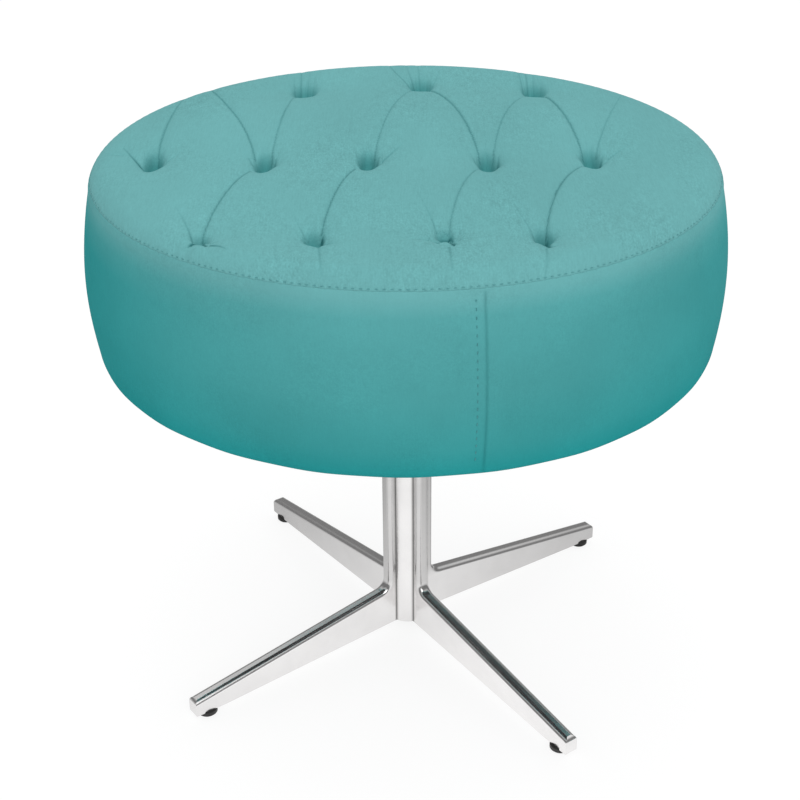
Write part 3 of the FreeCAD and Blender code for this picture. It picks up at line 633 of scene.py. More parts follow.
def band_outline():
    """Radius and height round the band's closed section, from the hem inside up the outer face.

    The outer face is a straight line from edge to shoulder plus a parabola for its swell.
    Quarter circles round the bottom edge and the shoulder.
    """
    edge_middle, edge_height = bottom_radius - EDGE_RADIUS, seat_bottom + EDGE_RADIUS
    shoulder_height = rim_height - SHOULDER_RADIUS
    hem = np.stack([np.linspace(board_radius - HEM_WIDTH, edge_middle, HEM_POINTS),
                    np.full(HEM_POINTS, seat_bottom)], axis=1)
    bend = np.linspace(-np.pi / 2, 0, EDGE_POINTS)[1:]
    edge = np.stack([edge_middle + EDGE_RADIUS * np.cos(bend),
                     edge_height + EDGE_RADIUS * np.sin(bend)], axis=1)
    rise = np.linspace(0, 1, SIDE_POINTS)[1:]
    swell_out = fullest_radius - (bottom_radius + top_radius) / 2
    line = bottom_radius + (top_radius - bottom_radius) * rise
    side = np.stack([line + 4 * swell_out * rise * (1 - rise),
                     edge_height + (shoulder_height - edge_height) * rise], axis=1)
    lean = np.linspace(np.pi / 2, seam_lean, SHOULDER_POINTS)[1:]
    shoulder = np.stack([flat_radius + SHOULDER_RADIUS * np.sin(lean),
                         shoulder_height + SHOULDER_RADIUS * np.cos(lean)], axis=1)
    outer = np.concatenate([hem, edge, side, shoulder])
    back = hoop_radius + INNER_GAP
    inner = np.array([
        (seam_radius - 0.9 * MM, seam_height + 0.1 * MM),
        (seam_radius - 2.2 * MM, seam_height - 1.4 * MM),
        (seam_radius - 4.2 * MM, seam_height - 5 * MM),
        (seam_radius - 4.6 * MM, board_top + 1.5 * MM),
        (seam_radius - 6 * MM, board_top + 0.2 * MM),
        (back, board_top - 0.4 * MM),
        (back, board_bottom + 4 * MM),
        (back, board_bottom - INNER_GAP),
        (board_radius - HEM_WIDTH + 0.5 * MM, board_bottom - INNER_GAP),
    ])
    return np.concatenate([outer, inner]), len(outer)


def band_turns():
    """Angles of the band's columns, measured from the side seam and crowded towards it."""
    even = np.linspace(-np.pi, np.pi, BAND_COLUMNS, endpoint=False)
    return even - SEAM_GATHER * even * np.exp(-(even / SEAM_RANGE) ** 2)


outline, outer_count = band_outline()
from_seam = band_turns()
print("band outline", len(outline), "points,", BAND_COLUMNS, "columns")

# %% [markdown]
# ## Unevenness of the band
# Stretched cloth is never quite even: it waves a little, puckers under the ring of stitches,
# dips at each staple, and sinks along the upright seam, where one edge lies over the other.

# %% Make the band
SEAM_DEPTH = 0.8 * MM
SEAM_WIDTH = 1.2 * MM
SEAM_LAP = 0.35 * MM
LAP_WIDTH = 7 * MM
SIDE_STITCH_GAP = 6.5 * MM
SIDE_STITCH_PITCH = 6 * MM
ROW_DEPTH, ROW_WIDTH = 0.4 * MM, 1.4 * MM
# slow waves: how high, how many round the seat,
# and by what angle in radians the sine moves on for each WAVE_RISE upwards
WAVES = ((0.25 * MM, 5, 4), (0.2 * MM, 8, -5))
WAVE_RISE = 0.1
BAND_PUCKER, BAND_PUCKER_FADE = 0.2 * MM, 9 * MM
STAPLES = 24
STAPLE_DIP, STAPLE_FADE = 0.2 * MM, 7 * MM
SEAM_FADE_TOP, SEAM_FADE_BOTTOM = 4 * MM, 16 * MM
LIFT_POINTS = 4


def band_lift(height, turn, across):
    """How far the band's outer face stands out.

    Slow waves are sines of angle and height. Puckers fade below the seam ring. The upright seam is
    a cusp in the distance across it, with a lap that stands out on its right.
    """
    above, below = height - seat_bottom, seam_height - height
    waves = sum(size * np.sin(round_count * turn + up_count * height / WAVE_RISE)
                for size, round_count, up_count in WAVES)
    pucker = BAND_PUCKER * np.cos(ring_stitches * turn / 2) * np.exp(-below / BAND_PUCKER_FADE)
    staple = STAPLE_DIP * np.cos(STAPLES * turn) * np.exp(-above / STAPLE_FADE)
    valley = -SEAM_DEPTH * np.exp(-np.abs(across) / SEAM_WIDTH)
    lap = SEAM_LAP * np.where(across > 0, np.exp(-(across / LAP_WIDTH) ** 2), 0)
    row = (across + SIDE_STITCH_GAP) / ROW_WIDTH
    holes = 0.6 - 0.4 * np.cos(2 * np.pi * height / SIDE_STITCH_PITCH)
    trough = -ROW_DEPTH * holes * np.exp(-row ** 2)
    room = soft_step(below / SEAM_FADE_TOP) * soft_step(above / SEAM_FADE_BOTTOM)
    return waves + pucker + staple + (valley + lap + trough) * room


def make_band():
    """The outline carried round the column, its outer face lifted along the outline's own normal."""
    radius, height = outline.T[:, :, None]
    turn = SIDE_SEAM + from_seam
    tangent = np.roll(outline, -1, axis=0) - np.roll(outline, 1, axis=0)
    tangent /= np.linalg.norm(tangent, axis=1, keepdims=True)
    order = np.arange(len(outline))
    shown = soft_step(np.minimum(order, outer_count - 1 - order) / LIFT_POINTS)
    shown = np.where(order < outer_count, shown, 0)[:, None]
    lift = shown * band_lift(height, turn, from_seam * radius)
    points = ring_points(turn, radius + lift * tangent[:, 1:], height - lift * tangent[:, :1])
    piece = add_mesh("seat_side_pad", points, grid_faces(len(outline), BAND_COLUMNS, True, True))
    # where the upright seam gets painted shade in the finish
    line = shown * np.exp(-(from_seam * radius / SEAM_WIDTH) ** 2)
    add_mask(piece, "crease", line)
    return piece


side_pad = make_band()
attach(side_pad, "seat")
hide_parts("side_band", "side_foam")

# %% [markdown]
# ## Stitches
# Each visible stitch is a short tight loop of thread. There are hundreds, so one small capsule
# with a few dozen faces is worked out once and set down along each row.

# %% Sew the stitches
STITCH_SIDES = 6
STITCH_WIDTH = 0.8 * MM
RING_STITCH, SIDE_STITCH = 2.3 * MM, 2.6 * MM
THREAD_RISE = 0.2 * MM
ROW_BOTTOM, ROW_TOP = 9 * MM, 5 * MM


def capsule():
    """A unit capsule: circles whose width follows a rounded curve along its length, and two ends."""
    way = np.array([-0.92, -0.5, 0.0, 0.5, 0.92])
    width = (1 - np.abs(way) ** 3) ** 0.5
    angle = np.arange(STITCH_SIDES) * 2 * np.pi / STITCH_SIDES
    rings = np.stack([
        np.repeat(way, STITCH_SIDES),
        np.outer(width, np.cos(angle)).ravel(),
        np.outer(width, np.sin(angle)).ravel(),
    ], axis=1)
    ends = np.array([(-1, 0, 0), (1, 0, 0)])
    around = np.arange(STITCH_SIDES)
    after = np.roll(around, -1)
    body = grid_faces(len(way), STITCH_SIDES, closed_columns=True)[:, ::-1]
    tail = (len(way) - 1) * STITCH_SIDES
    first = np.stack([after, around, np.full(STITCH_SIDES, len(rings))], axis=1)
    last = np.stack([tail + around, tail + after, np.full(STITCH_SIDES, len(rings) + 1)], axis=1)
    return np.concatenate([rings, ends]), body[:, ::-1], np.concatenate([first[:, ::-1], last])


def sew(name, centres, along, outward, length):
    """A capsule at each centre, long in its own direction and flat on the cloth."""
    shape, body, ends = capsule()
    across = np.cross(outward, along)
    points = (centres[:, None]
              + shape[:, :1] * along[:, None] * length / 2
              + shape[:, 1:2] * across[:, None] * STITCH_WIDTH / 2
              + shape[:, 2:] * outward[:, None] * STITCH_WIDTH / 2)
    offset = np.arange(len(centres))[:, None, None] * len(shape)
    piece = add_mesh(name, points, (body + offset).reshape(-1, 4), (ends + offset).reshape(-1, 3))
    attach(piece, "seat")
    return piece


def ring_row():
    """Stitch places along the trough above the seam, midway between the needle holes."""
    turn = (np.arange(ring_stitches) + 0.5) * 2 * np.pi / ring_stitches
    reach = seam_reach - STITCH_DROP
    px, py = reach * np.cos(turn), reach * np.sin(turn)
    points, outward = top_form(px, py)
    along = np.stack([-np.sin(turn), np.cos(turn), np.zeros_like(turn)], axis=1)
    return points + outward * (seam_lift(px, py)[:, None] + THREAD_RISE), along, outward


def side_row():
    """Stitch places down the band, beside the upright seam."""
    low, high = seat_bottom + ROW_BOTTOM, seam_height - ROW_TOP
    first = math.ceil(low / SIDE_STITCH_PITCH) + 0.5
    height = np.arange(first, high / SIDE_STITCH_PITCH) * SIDE_STITCH_PITCH
    outer = outline[HEM_POINTS:outer_count]
    radius = np.interp(height, outer[:, 1], outer[:, 0])
    across = np.full_like(height, -SIDE_STITCH_GAP)
    turn = SIDE_SEAM + across / radius
    radius = radius + band_lift(height, turn, across) + THREAD_RISE
    slope = np.gradient(radius, height)
    along = np.stack([slope * np.cos(turn), slope * np.sin(turn), np.ones_like(turn)], axis=1)
    along /= np.linalg.norm(along, axis=1, keepdims=True)
    outward = np.stack([np.cos(turn), np.sin(turn), -slope], axis=1)
    outward /= np.linalg.norm(outward, axis=1, keepdims=True)
    return ring_points(turn, radius, height), along, outward


ring_thread = sew("ring_stitches", *ring_row(), RING_STITCH)
side_thread = sew("side_stitches", *side_row(), SIDE_STITCH)

# %% [markdown]
# ## The dust cover
# A disc of thin black cloth closes the underside. It is clamped by the plate in the middle and
# stapled round its edge over the band's hem, and it hangs a little slack between the staples.

# %% Make the dust cover
DUST_COLUMNS = 288
DUST_THICKNESS = 0.8 * MM
DUST_GAP = 0.1 * MM
INNER_RINGS, HEM_RINGS = 34, 22
SLACK_SAG, SLACK_FADE = 1.2 * MM, 25 * MM
HEM_STEP, HEM_FADE, RIM_FADE = 3 * MM, 6 * MM, 9 * MM
HEM_SAG = 0.5 * MM
RIM_WAVE, RIM_POWER = 0.7 * MM, 8


def make_dust_sheet():
    """Height over the disc: flat under the plate, a slack wave outside it, a step down at the hem."""
    low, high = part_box("dust_cover")
    plate_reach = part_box("mounting_plate")[1].x * math.sqrt(2)
    outer, hem = high.x, board_radius - HEM_WIDTH
    rings = np.concatenate([np.linspace(4 * MM, hem - 8 * MM, INNER_RINGS),
                            np.linspace(hem - 6 * MM, outer, HEM_RINGS)])
    turn = np.arange(DUST_COLUMNS) * 2 * np.pi / DUST_COLUMNS
    radius = rings[:, None]
    middle = high.z - DUST_THICKNESS / 2 - DUST_GAP
    lapped = low.z + DUST_THICKNESS / 2 + DUST_GAP
    height = middle + (lapped - middle) * soft_step((radius - hem + HEM_STEP) / HEM_STEP)
    slack = soft_step((radius - plate_reach) / SLACK_FADE) * soft_step((hem - radius) / SLACK_FADE)
    hang = 1 + 0.5 * np.sin(5 * turn + 30 * radius) + 0.3 * np.sin(11 * turn)
    hems = soft_step((radius - hem) / HEM_FADE)
    between = (1 - np.cos(STAPLES * turn)) / 2 * soft_step((outer - radius) / RIM_FADE)
    height = height - SLACK_SAG * slack * hang - HEM_SAG * hems * between
    wavy = radius + RIM_WAVE * hems * np.cos(STAPLES * turn) * (radius / outer) ** RIM_POWER
    points = ring_points(turn, wavy, height)
    pole = len(points.reshape(-1, 3))
    around = np.arange(DUST_COLUMNS)
    fan = np.stack([around, np.roll(around, -1), np.full(DUST_COLUMNS, pole)], axis=1)[:, ::-1]
    steps = grid_faces(len(rings), DUST_COLUMNS, closed_columns=True)
    everything = np.concatenate([points.reshape(-1, 3), [[0, 0, middle]]])
    piece = add_mesh("dust_sheet", everything, steps, fan)
    wall = piece.modifiers.new("thickness", "SOLIDIFY")
    wall.thickness = DUST_THICKNESS
    wall.offset = 0
    return piece, outer


dust_sheet, dust_radius = make_dust_sheet()
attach(dust_sheet, "seat")
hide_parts("dust_cover")

# %% [markdown]
# ## Tools for finishes
# A finish is a small net of shader nodes. These helpers set a node down with its values
# and join it up.
# Effects that several finishes share are groups: they give out colours, masks and heights,
# while the shader itself stays in each material.

# %% Helpers for shader nodes


def put(tree, kind, values=(), **settings):
    """A node with some of its settings and input values filled in; a socket as a value is joined on."""
    node = tree.nodes.new(kind)
    for name, value in settings.items():
        setattr(node, name, value)
    for socket, value in dict(values).items():
        if isinstance(value, bpy.types.NodeSocket):
            tree.links.new(value, node.inputs[socket])
        else:
            node.inputs[socket].default_value = value
    return node


def new_group(name, inputs, outputs):
    """An empty group with named sockets, and its input and output nodes."""
    tree = bpy.data.node_groups.new(name, "ShaderNodeTree")
    for label, kind in inputs:
        tree.interface.new_socket(label, in_out="INPUT", socket_type=f"NodeSocket{kind}")
    for label, kind in outputs:
        tree.interface.new_socket(label, in_out="OUTPUT", socket_type=f"NodeSocket{kind}")
    return tree, tree.nodes.new("NodeGroupInput").outputs, tree.nodes.new("NodeGroupOutput").inputs


def use_group(tree, group, values):
    """A group set down in a tree with its own values."""
    return put(tree, "ShaderNodeGroup", values, node_tree=group)


def new_finish(name, **values):
    """A material with its shader's constant values set, its node tree and its object coordinates."""
    material = bpy.data.materials.new(name)
    material.use_nodes = True
    tree = material.node_tree
    shader = tree.nodes["Principled BSDF"]
    for socket, value in values.items():
        shader.inputs[socket.replace("_", " ")].default_value = value
    place = tree.nodes.new("ShaderNodeTexCoord").outputs["Object"]
    return material, tree, shader, place


def blend(tree, share, first, second):
    """A colour between two colours: the first at a share of 0, the second at 1."""
    return put(tree, "ShaderNodeMix", {0: share, 6: first, 7: second}, data_type="RGBA").outputs[2]


def calc(tree, operation, first, second=0.5):
    """One sum on two numbers."""
    return put(tree, "ShaderNodeMath", {0: first, 1: second}, operation=operation).outputs[0]


def span(tree, value, low, high, to_low=0.0, to_high=1.0):
    """A number carried from one range to another."""
    values = {"Value": value, "From Min": low, "From Max": high, "To Min": to_low, "To Max": to_high}
    return put(tree, "ShaderNodeMapRange", values).outputs[0]


def noise(tree, place, scale, detail=3.0, roughness=0.55):
    """Random clouds between 0 and 1."""
    values = {"Vector": place, "Scale": scale, "Detail": detail, "Roughness": roughness}
    return put(tree, "ShaderNodeTexNoise", values).outputs["Fac"]


def bump(tree, shader, height, distance, strength=1.0):
    """Let a height tilt the shader's surface."""
    values = {"Height": height, "Distance": distance, "Strength": strength}
    node = put(tree, "ShaderNodeBump", values)
    tree.links.new(node.outputs["Normal"], shader.inputs["Normal"])


def read_mask(tree, name):
    """The number that a mesh keeps at each point under a name."""
    return put(tree, "ShaderNodeAttribute", attribute_name=name).outputs["Fac"]


def dress(material, *names):
    """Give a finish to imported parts."""
    for name in names:
        part = nodes[name]
        part.data.materials.clear()
        part.data.materials.append(material)


def dress_all(make, finishes):
    """Make each finish of a table from its values, and give it to the parts at the row's end."""
    for name, (*values, parts) in finishes.items():
        dress(make(name, *values), *parts)
        print(name, "on", *parts)


# %% [markdown]
# ## Brushed suede
# The cover is a short-napped suede cloth. Seen close it is mottled, because the nap lies
# this way and that, and it has fine short streaks. One group mottles any colour in this way.

# %% The nap of the suede
CLOUDS, WORN_PLACES, PATCHES, FINE_GRAIN = 9.0, 16.0, 190.0, 750.0
STREAKS = (900.0, 160.0, 160.0)
NOISE_RANGE = (0.3, 0.7)


def nap_group():
    """A colour times a shade near 1, and the nap's height.

    The shade is 1 plus slow clouds plus grain. Grain is patches and fine specks, stronger where
    the cloth is worn, plus streaks that are long one way. The height is fine specks plus streaks.
    """
    inputs = [("Place", "Vector"), ("Color", "Color"), ("Cloud", "Float"), ("Mottle", "Float")]
    tree, given, out = new_group("suede_nap", inputs, [("Color", "Color"), ("Height", "Float")])
    place = given["Place"]
    cloud = noise(tree, place, CLOUDS, 3.0)
    worn = span(tree, noise(tree, place, WORN_PLACES, 2.0), 0.4, 0.65, 0.35, 1.4)
    patch = noise(tree, place, PATCHES, 4.0, 0.65)
    fine = noise(tree, place, FINE_GRAIN, 2.0, 0.6)
    combed = put(tree, "ShaderNodeMapping", {"Vector": place, "Scale": STREAKS}).outputs[0]
    streak = noise(tree, combed, 1.0, 2.0)
    cloudy = calc(tree, "MULTIPLY", span(tree, cloud, *NOISE_RANGE, -1.0, 1.0), given["Cloud"])
    grain = calc(tree, "ADD", span(tree, patch, *NOISE_RANGE, -0.6, 0.6),
                 span(tree, fine, *NOISE_RANGE, -1.0, 1.0))
    grain = calc(tree, "MULTIPLY", grain, worn)
    grain = calc(tree, "ADD", grain, span(tree, streak, *NOISE_RANGE, -0.4, 0.4))
    grain = calc(tree, "MULTIPLY", grain, given["Mottle"])
    shade = calc(tree, "ADD", calc(tree, "ADD", cloudy, grain), 1.0)
    dimmed = put(tree, "ShaderNodeVectorMath", {0: given["Color"], "Scale": shade}, operation="SCALE")
    tree.links.new(dimmed.outputs[0], out["Color"])
    tree.links.new(calc(tree, "ADD", calc(tree, "MULTIPLY", fine, 0.7), streak), out["Height"])
    return tree


suede_nap = nap_group()
print("group", suede_nap.name, "with", len(suede_nap.nodes), "nodes")

# %% [markdown]
# ## Painted sheen and shade
# Painted sheen is white added to the dyed colour: most on the top, less down the side,
# and least at the bottom edge and towards the left and right of the side.
# The folds and the pits get painted shade, by the numbers that were left on the net.

# %% Finishes of the suede
DYE = (0.012, 0.253, 0.260)
# painted sheen: white added to the dye on the top and up the side
TOP_PAINTED_SHEEN = 0.122
SIDE_PAINTED_SHEEN = 0.118
# painted shade along the folds and in the upright seam
FOLD_SHADE_COLOUR = (0.005, 0.110, 0.114, 1)
# painted shade in the pits
PIT_SHADE_COLOUR = (0.014, 0.225, 0.228, 1)
TOP_COMB = (1.0, 0.45, 1.0)
LINE_WEIGHTS, LINE_WIDTHS = (0.0, 2.0), (0.7, 1.6)
# how dark the painted shade of a fold's line is
FOLD_SHADE_DARKNESS = 0.45
# how deep a pit must be for its painted shade, and how much of it there is
PIT_DEPTHS, PIT_SHADE_SHARES = (4.0, 13.0), (0.0, 0.55)
# painted shade along the upright seam of the side
SEAM_SHADE_DARKNESS = 0.2
NAP_HEIGHT, NAP_STRENGTH = 0.2 * MM, 0.35
# painted shade at the left and right of the side: less sheen there, more so on the left
LEFT_SIDE_SHADE, RIGHT_SIDE_SHADE = 1.1, 0.68
SIDE_SHADE_RISE, SIDE_SHADE_SHARES = (0.75, 0.97), (0.9, 0.2)
# the painted sheen up the side, from the bottom edge to the seam: how far up, and how much
PAINTED_SHEEN_STEPS = ((0.0, 0.0), (0.05, 0.06), (0.18, 0.24), (0.47, 0.45),
              (0.75, 0.56), (0.87, 0.62), (0.96, 0.95), (1.0, 1.0))


def with_painted_sheen(tree, painted_sheen):
    """The dyed colour with white added as painted sheen."""
    white = put(tree, "ShaderNodeCombineXYZ", {"X": painted_sheen, "Y": painted_sheen, "Z": painted_sheen})
    return put(tree, "ShaderNodeVectorMath", {0: DYE, 1: white.outputs[0]}, operation="ADD").outputs[0]


def top_suede():
    """Mottled dye with painted sheen, and painted shade in the pits and along the folds.

    A fold's line of painted shade is its weight times a bell curve of the distance from it;
    strong folds are wider.
    """
    material, tree, shader, place = new_finish("suede_top", Roughness=0.85, Specular_IOR_Level=0.1)
    combed = put(tree, "ShaderNodeMapping", {"Vector": place, "Scale": TOP_COMB}).outputs[0]
    nap = use_group(tree, suede_nap, {"Place": combed, "Color": with_painted_sheen(tree, TOP_PAINTED_SHEEN),
                                      "Cloud": 0.05, "Mottle": 0.085})
    offset, weight, pit = (read_mask(tree, name) for name in ("fold_offset", "fold_weight", "pit"))
    width = span(tree, weight, *LINE_WEIGHTS, *LINE_WIDTHS)
    fall = calc(tree, "POWER", calc(tree, "DIVIDE", offset, width), 2.0)
    line = calc(tree, "MULTIPLY", weight, calc(tree, "EXPONENT", calc(tree, "MULTIPLY", fall, -1.0)))
    # painted shade in the pits, deeper where the pit is deeper
    sunk = blend(tree, span(tree, pit, *PIT_DEPTHS, *PIT_SHADE_SHARES), nap.outputs["Color"], PIT_SHADE_COLOUR)
    # painted shade along the folds
    darkness = calc(tree, "MULTIPLY", line, FOLD_SHADE_DARKNESS)
    dark = put(tree, "ShaderNodeClamp", {"Value": darkness}).outputs[0]
    tree.links.new(blend(tree, dark, sunk, FOLD_SHADE_COLOUR), shader.inputs["Base Color"])
    bump(tree, shader, nap.outputs["Height"], NAP_HEIGHT, NAP_STRENGTH)
    return material


def side_suede():
    """Mottled dye with painted sheen that grows up the side by steps, and less of it to the left and
    right.

    The sheen is cut by the square of the way left or right, more on the left, fading near the top:
    this is painted shade at the sides.
    """
    material, tree, shader, place = new_finish("suede_side", Roughness=0.9, Specular_IOR_Level=0.03)
    axes = put(tree, "ShaderNodeSeparateXYZ", {"Vector": place}).outputs
    rise = span(tree, axes["Z"], seat_bottom, seam_height)
    steps = put(tree, "ShaderNodeValToRGB", {"Fac": rise})
    for step, _ in PAINTED_SHEEN_STEPS[1:-1]:
        steps.color_ramp.elements.new(step)
    for stop, (step, value) in zip(steps.color_ramp.elements, PAINTED_SHEEN_STEPS):
        stop.position = step
        stop.color = (value, value, value, 1)
    sides = span(tree, axes["X"], -fullest_radius, fullest_radius, LEFT_SIDE_SHADE, RIGHT_SIDE_SHADE)
    # painted shade: less sheen towards the left and right
    side_shade = calc(tree, "POWER", calc(tree, "DIVIDE", axes["X"], fullest_radius), 2.0)
    side_shade = calc(tree, "MULTIPLY", side_shade, sides)
    side_shade = calc(tree, "MULTIPLY", side_shade, span(tree, rise, *SIDE_SHADE_RISE, *SIDE_SHADE_SHARES))
    painted_sheen = calc(tree, "MULTIPLY", steps.outputs["Color"], calc(tree, "SUBTRACT", 1.0, side_shade))
    painted_sheen = calc(tree, "MULTIPLY", painted_sheen, SIDE_PAINTED_SHEEN)
    nap = use_group(tree, suede_nap, {"Place": place, "Color": with_painted_sheen(tree, painted_sheen),
                                      "Cloud": 0.07, "Mottle": 0.04})
    # painted shade along the upright seam
    seam = calc(tree, "MULTIPLY", read_mask(tree, "crease"), SEAM_SHADE_DARKNESS)
    tree.links.new(blend(tree, seam, nap.outputs["Color"], FOLD_SHADE_COLOUR), shader.inputs["Base Color"])
    bump(tree, shader, nap.outputs["Height"], NAP_HEIGHT, NAP_STRENGTH)
    return material


top_pad.data.materials.append(top_suede())
side_pad.data.materials.append(side_suede())
print("suede on", top_pad.name, "and", side_pad.name)

# %% [markdown]
# ## Thread and twine
# The thread is a shade darker than the suede, with a twist that shows as fine slanting stripes.
# The ring of stitches gets painted sheen like the top, so its thread is painted paler than the side's.
# The tufting twine is the same thing thicker and undyed.

# %% Finishes of thread and twine


def twist_group():
    """Slanting stripes that waver, as a mask."""
    inputs = [("Place", "Vector"), ("Scale", "Float"), ("Waver", "Float")]
    tree, given, out = new_group("thread_twist", inputs, [("Mask", "Float")])
    values = {"Vector": given["Place"], "Scale": given["Scale"], "Distortion": given["Waver"]}
    wave = put(tree, "ShaderNodeTexWave", values, bands_direction="DIAGONAL")
    tree.links.new(wave.outputs["Fac"], out["Mask"])
    return tree


thread_twist = twist_group()


def twisted_finish(name, dark, light, roughness, scale, waver, depth):
    """Twisted thread: two shades in slanting stripes that also stand up a little."""
    material, tree, shader, place = new_finish(name, Roughness=roughness)
    values = {"Place": place, "Scale": scale, "Waver": waver}
    twist = use_group(tree, thread_twist, values).outputs["Mask"]
    tree.links.new(blend(tree, twist, dark, light), shader.inputs["Base Color"])
    bump(tree, shader, twist, depth, 0.6)
    return material


# roughness, scale and waver of the twist, and its depth
THREAD_LOOK = (0.6, 420.0, 1.5, 0.15 * MM)
TWINE_LOOK = (0.8, 260.0, 1.0, 0.3 * MM)
# dark and light colour
# the ring's thread carries painted sheen: the same thread as on the side, painted paler
SHEENED_TOP_THREAD = ((0.060, 0.265, 0.275, 1), (0.085, 0.315, 0.325, 1))
SIDE_THREAD = ((0.035, 0.220, 0.230, 1), (0.060, 0.280, 0.290, 1))
TWINE = ((0.62, 0.58, 0.48, 1), (0.82, 0.79, 0.70, 1))
ring_thread.data.materials.append(twisted_finish("top_thread_painted_sheen", *SHEENED_TOP_THREAD, *THREAD_LOOK))
side_thread.data.materials.append(twisted_finish("side_thread", *SIDE_THREAD, *THREAD_LOOK))
dress(twisted_finish("tuft_twine", *TWINE, *TWINE_LOOK), "tuft_twines")
print("thread on", ring_thread.name, side_thread.name, "and tuft_twines")

# %% [markdown]
# ## Black cloth
# The dust cover is pressed from fibres, with a grid of small welded dots.

# %% Finish of the dust cover
DOTS, FIBRES = 520.0, 1500.0


def dust_finish():
    """Black cloth, darker at dots of an uneven grid and between fibres."""
    material, tree, shader, place = new_finish("black_dust_cloth", Roughness=0.95)
    values = {"Vector": place, "Scale": DOTS, "Randomness": 0.35}
    dots = put(tree, "ShaderNodeTexVoronoi", values).outputs["Distance"]
    fibre = noise(tree, place, FIBRES, 4.0, 0.7)
    shade = calc(tree, "MULTIPLY", span(tree, dots, 0.1, 0.4),
                 span(tree, fibre, *NOISE_RANGE, 0.6, 1.0))
    colour = blend(tree, shade, (0.012, 0.012, 0.013, 1), (0.040, 0.040, 0.043, 1))
    tree.links.new(colour, shader.inputs["Base Color"])
    bump(tree, shader, shade, 0.2 * MM, 0.7)
    return material


dust_sheet.data.materials.append(dust_finish())
print("cloth on", dust_sheet.name)

# %% [markdown]
# ## Polished and turned metal
# The base is polished bright: almost a mirror, with faint smears and very fine polishing lines.
# Turned steel, brass and zinc take the same group with their own strengths.

# %% The wear of metal
SMEARS = 22.0
SMEAR_SHARE, LINE_SHARE = 0.6, 0.25


def wear_group():
    """Roughness between a smooth and a rough value, by smears and by fine lines.

    The mask is the smears alone, and the height is the lines alone.
    """
    inputs = [("Place", "Vector"), ("Smear", "Float"), ("Smooth", "Float"), ("Rough", "Float"),
              ("Lines", "Vector")]
    outputs = [("Roughness", "Float"), ("Height", "Float"), ("Mask", "Float")]
    tree, given, out = new_group("metal_wear", inputs, outputs)
    smear = noise(tree, given["Place"], SMEARS, 5.0, 0.65)
    values = {0: given["Place"], 1: given["Lines"]}
    drawn = put(tree, "ShaderNodeVectorMath", values, operation="MULTIPLY").outputs[0]
    lines = noise(tree, drawn, 1.0, 3.0, 0.6)
    mask = calc(tree, "MULTIPLY", span(tree, smear, 0.4, 0.75), given["Smear"])
    mixed = calc(tree, "ADD", mask, calc(tree, "MULTIPLY", lines, LINE_SHARE))
    rise = calc(tree, "SUBTRACT", given["Rough"], given["Smooth"])
    roughness = calc(tree, "ADD", given["Smooth"], calc(tree, "MULTIPLY", mixed, rise))
    tree.links.new(roughness, out["Roughness"])
    tree.links.new(lines, out["Height"])
    tree.links.new(mask, out["Mask"])
    return tree


metal_wear = wear_group()


def metal_finish(name, bright, dull, smooth, rough, lines, depth):
    """A metal between a bright and a dull colour, with its own roughness and polishing lines."""
    material, tree, shader, place = new_finish(name, Metallic=1.0)
    wear = use_group(tree, metal_wear, {"Place": place, "Smear": SMEAR_SHARE, "Smooth": smooth,
                                        "Rough": rough, "Lines": lines})
    tree.links.new(blend(tree, wear.outputs["Mask"], bright, dull), shader.inputs["Base Color"])
    tree.links.new(wear.outputs["Roughness"], shader.inputs["Roughness"])
    bump(tree, shader, wear.outputs["Height"], depth, 0.3)
    return material


print("group", metal_wear.name, "with", len(metal_wear.nodes), "nodes")

# %% [markdown]
# ## The polished base
# The risers get painted shade, so they look dimmer than the tube,
# and a line of painted shade runs along each weld, in the corner where a riser meets the tube.

# %% Polish the base
BRIGHT_STEEL, DULL_STEEL = (0.872, 0.860, 0.857, 1), (0.772, 0.760, 0.757, 1)
POLISH_LINES = (40.0, 40.0, 25.0)
RISER_HALF = 6.5 * MM
RISER_FOOT = (46 * MM, 62 * MM)
WELD_TURN = math.radians(54.2)
WELD_WIDTH = 1.3 * MM
# painted shade in the corner along each weld
WELD_SHADE_COLOUR = (0.16, 0.16, 0.155, 1)
WELD_SHADE_SHARE = 0.8
# share of brightness left up the risers and on the tube: painted shade
RISER_PAINTED_SHADE, TUBE_PAINTED_SHADE = 0.74, 1.0
tube_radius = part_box("column_tube")[1].x
weld_reach = math.sqrt(tube_radius ** 2 - RISER_HALF ** 2)


def weld_shade_group():
    """A mask near the upright lines where the risers meet the tube.

    The place is turned until the legs lie along the axes, and the axes are folded onto each other,
    so that all eight lines fall on one. The mask is a bell curve of the distance from it.
    """
    tree, given, out = new_group("weld_shade_lines", [("Place", "Vector")], [("Mask", "Float")])
    values = {"Vector": given["Place"], "Rotation": (0.0, 0.0, WELD_TURN)}
    turned = put(tree, "ShaderNodeMapping", values).outputs[0]
    folded = put(tree, "ShaderNodeVectorMath", {0: turned}, operation="ABSOLUTE")
    axes = put(tree, "ShaderNodeSeparateXYZ", {"Vector": folded.outputs[0]}).outputs
    outward = calc(tree, "SUBTRACT", calc(tree, "MAXIMUM", axes["X"], axes["Y"]), weld_reach)
    sideways = calc(tree, "SUBTRACT", calc(tree, "MINIMUM", axes["X"], axes["Y"]), RISER_HALF)
    squares = calc(tree, "ADD", calc(tree, "POWER", outward, 2.0), calc(tree, "POWER", sideways, 2.0))
    fall = calc(tree, "EXPONENT", calc(tree, "DIVIDE", squares, -WELD_WIDTH ** 2))
    tree.links.new(fall, out["Mask"])
    return tree


weld_shade_lines = weld_shade_group()


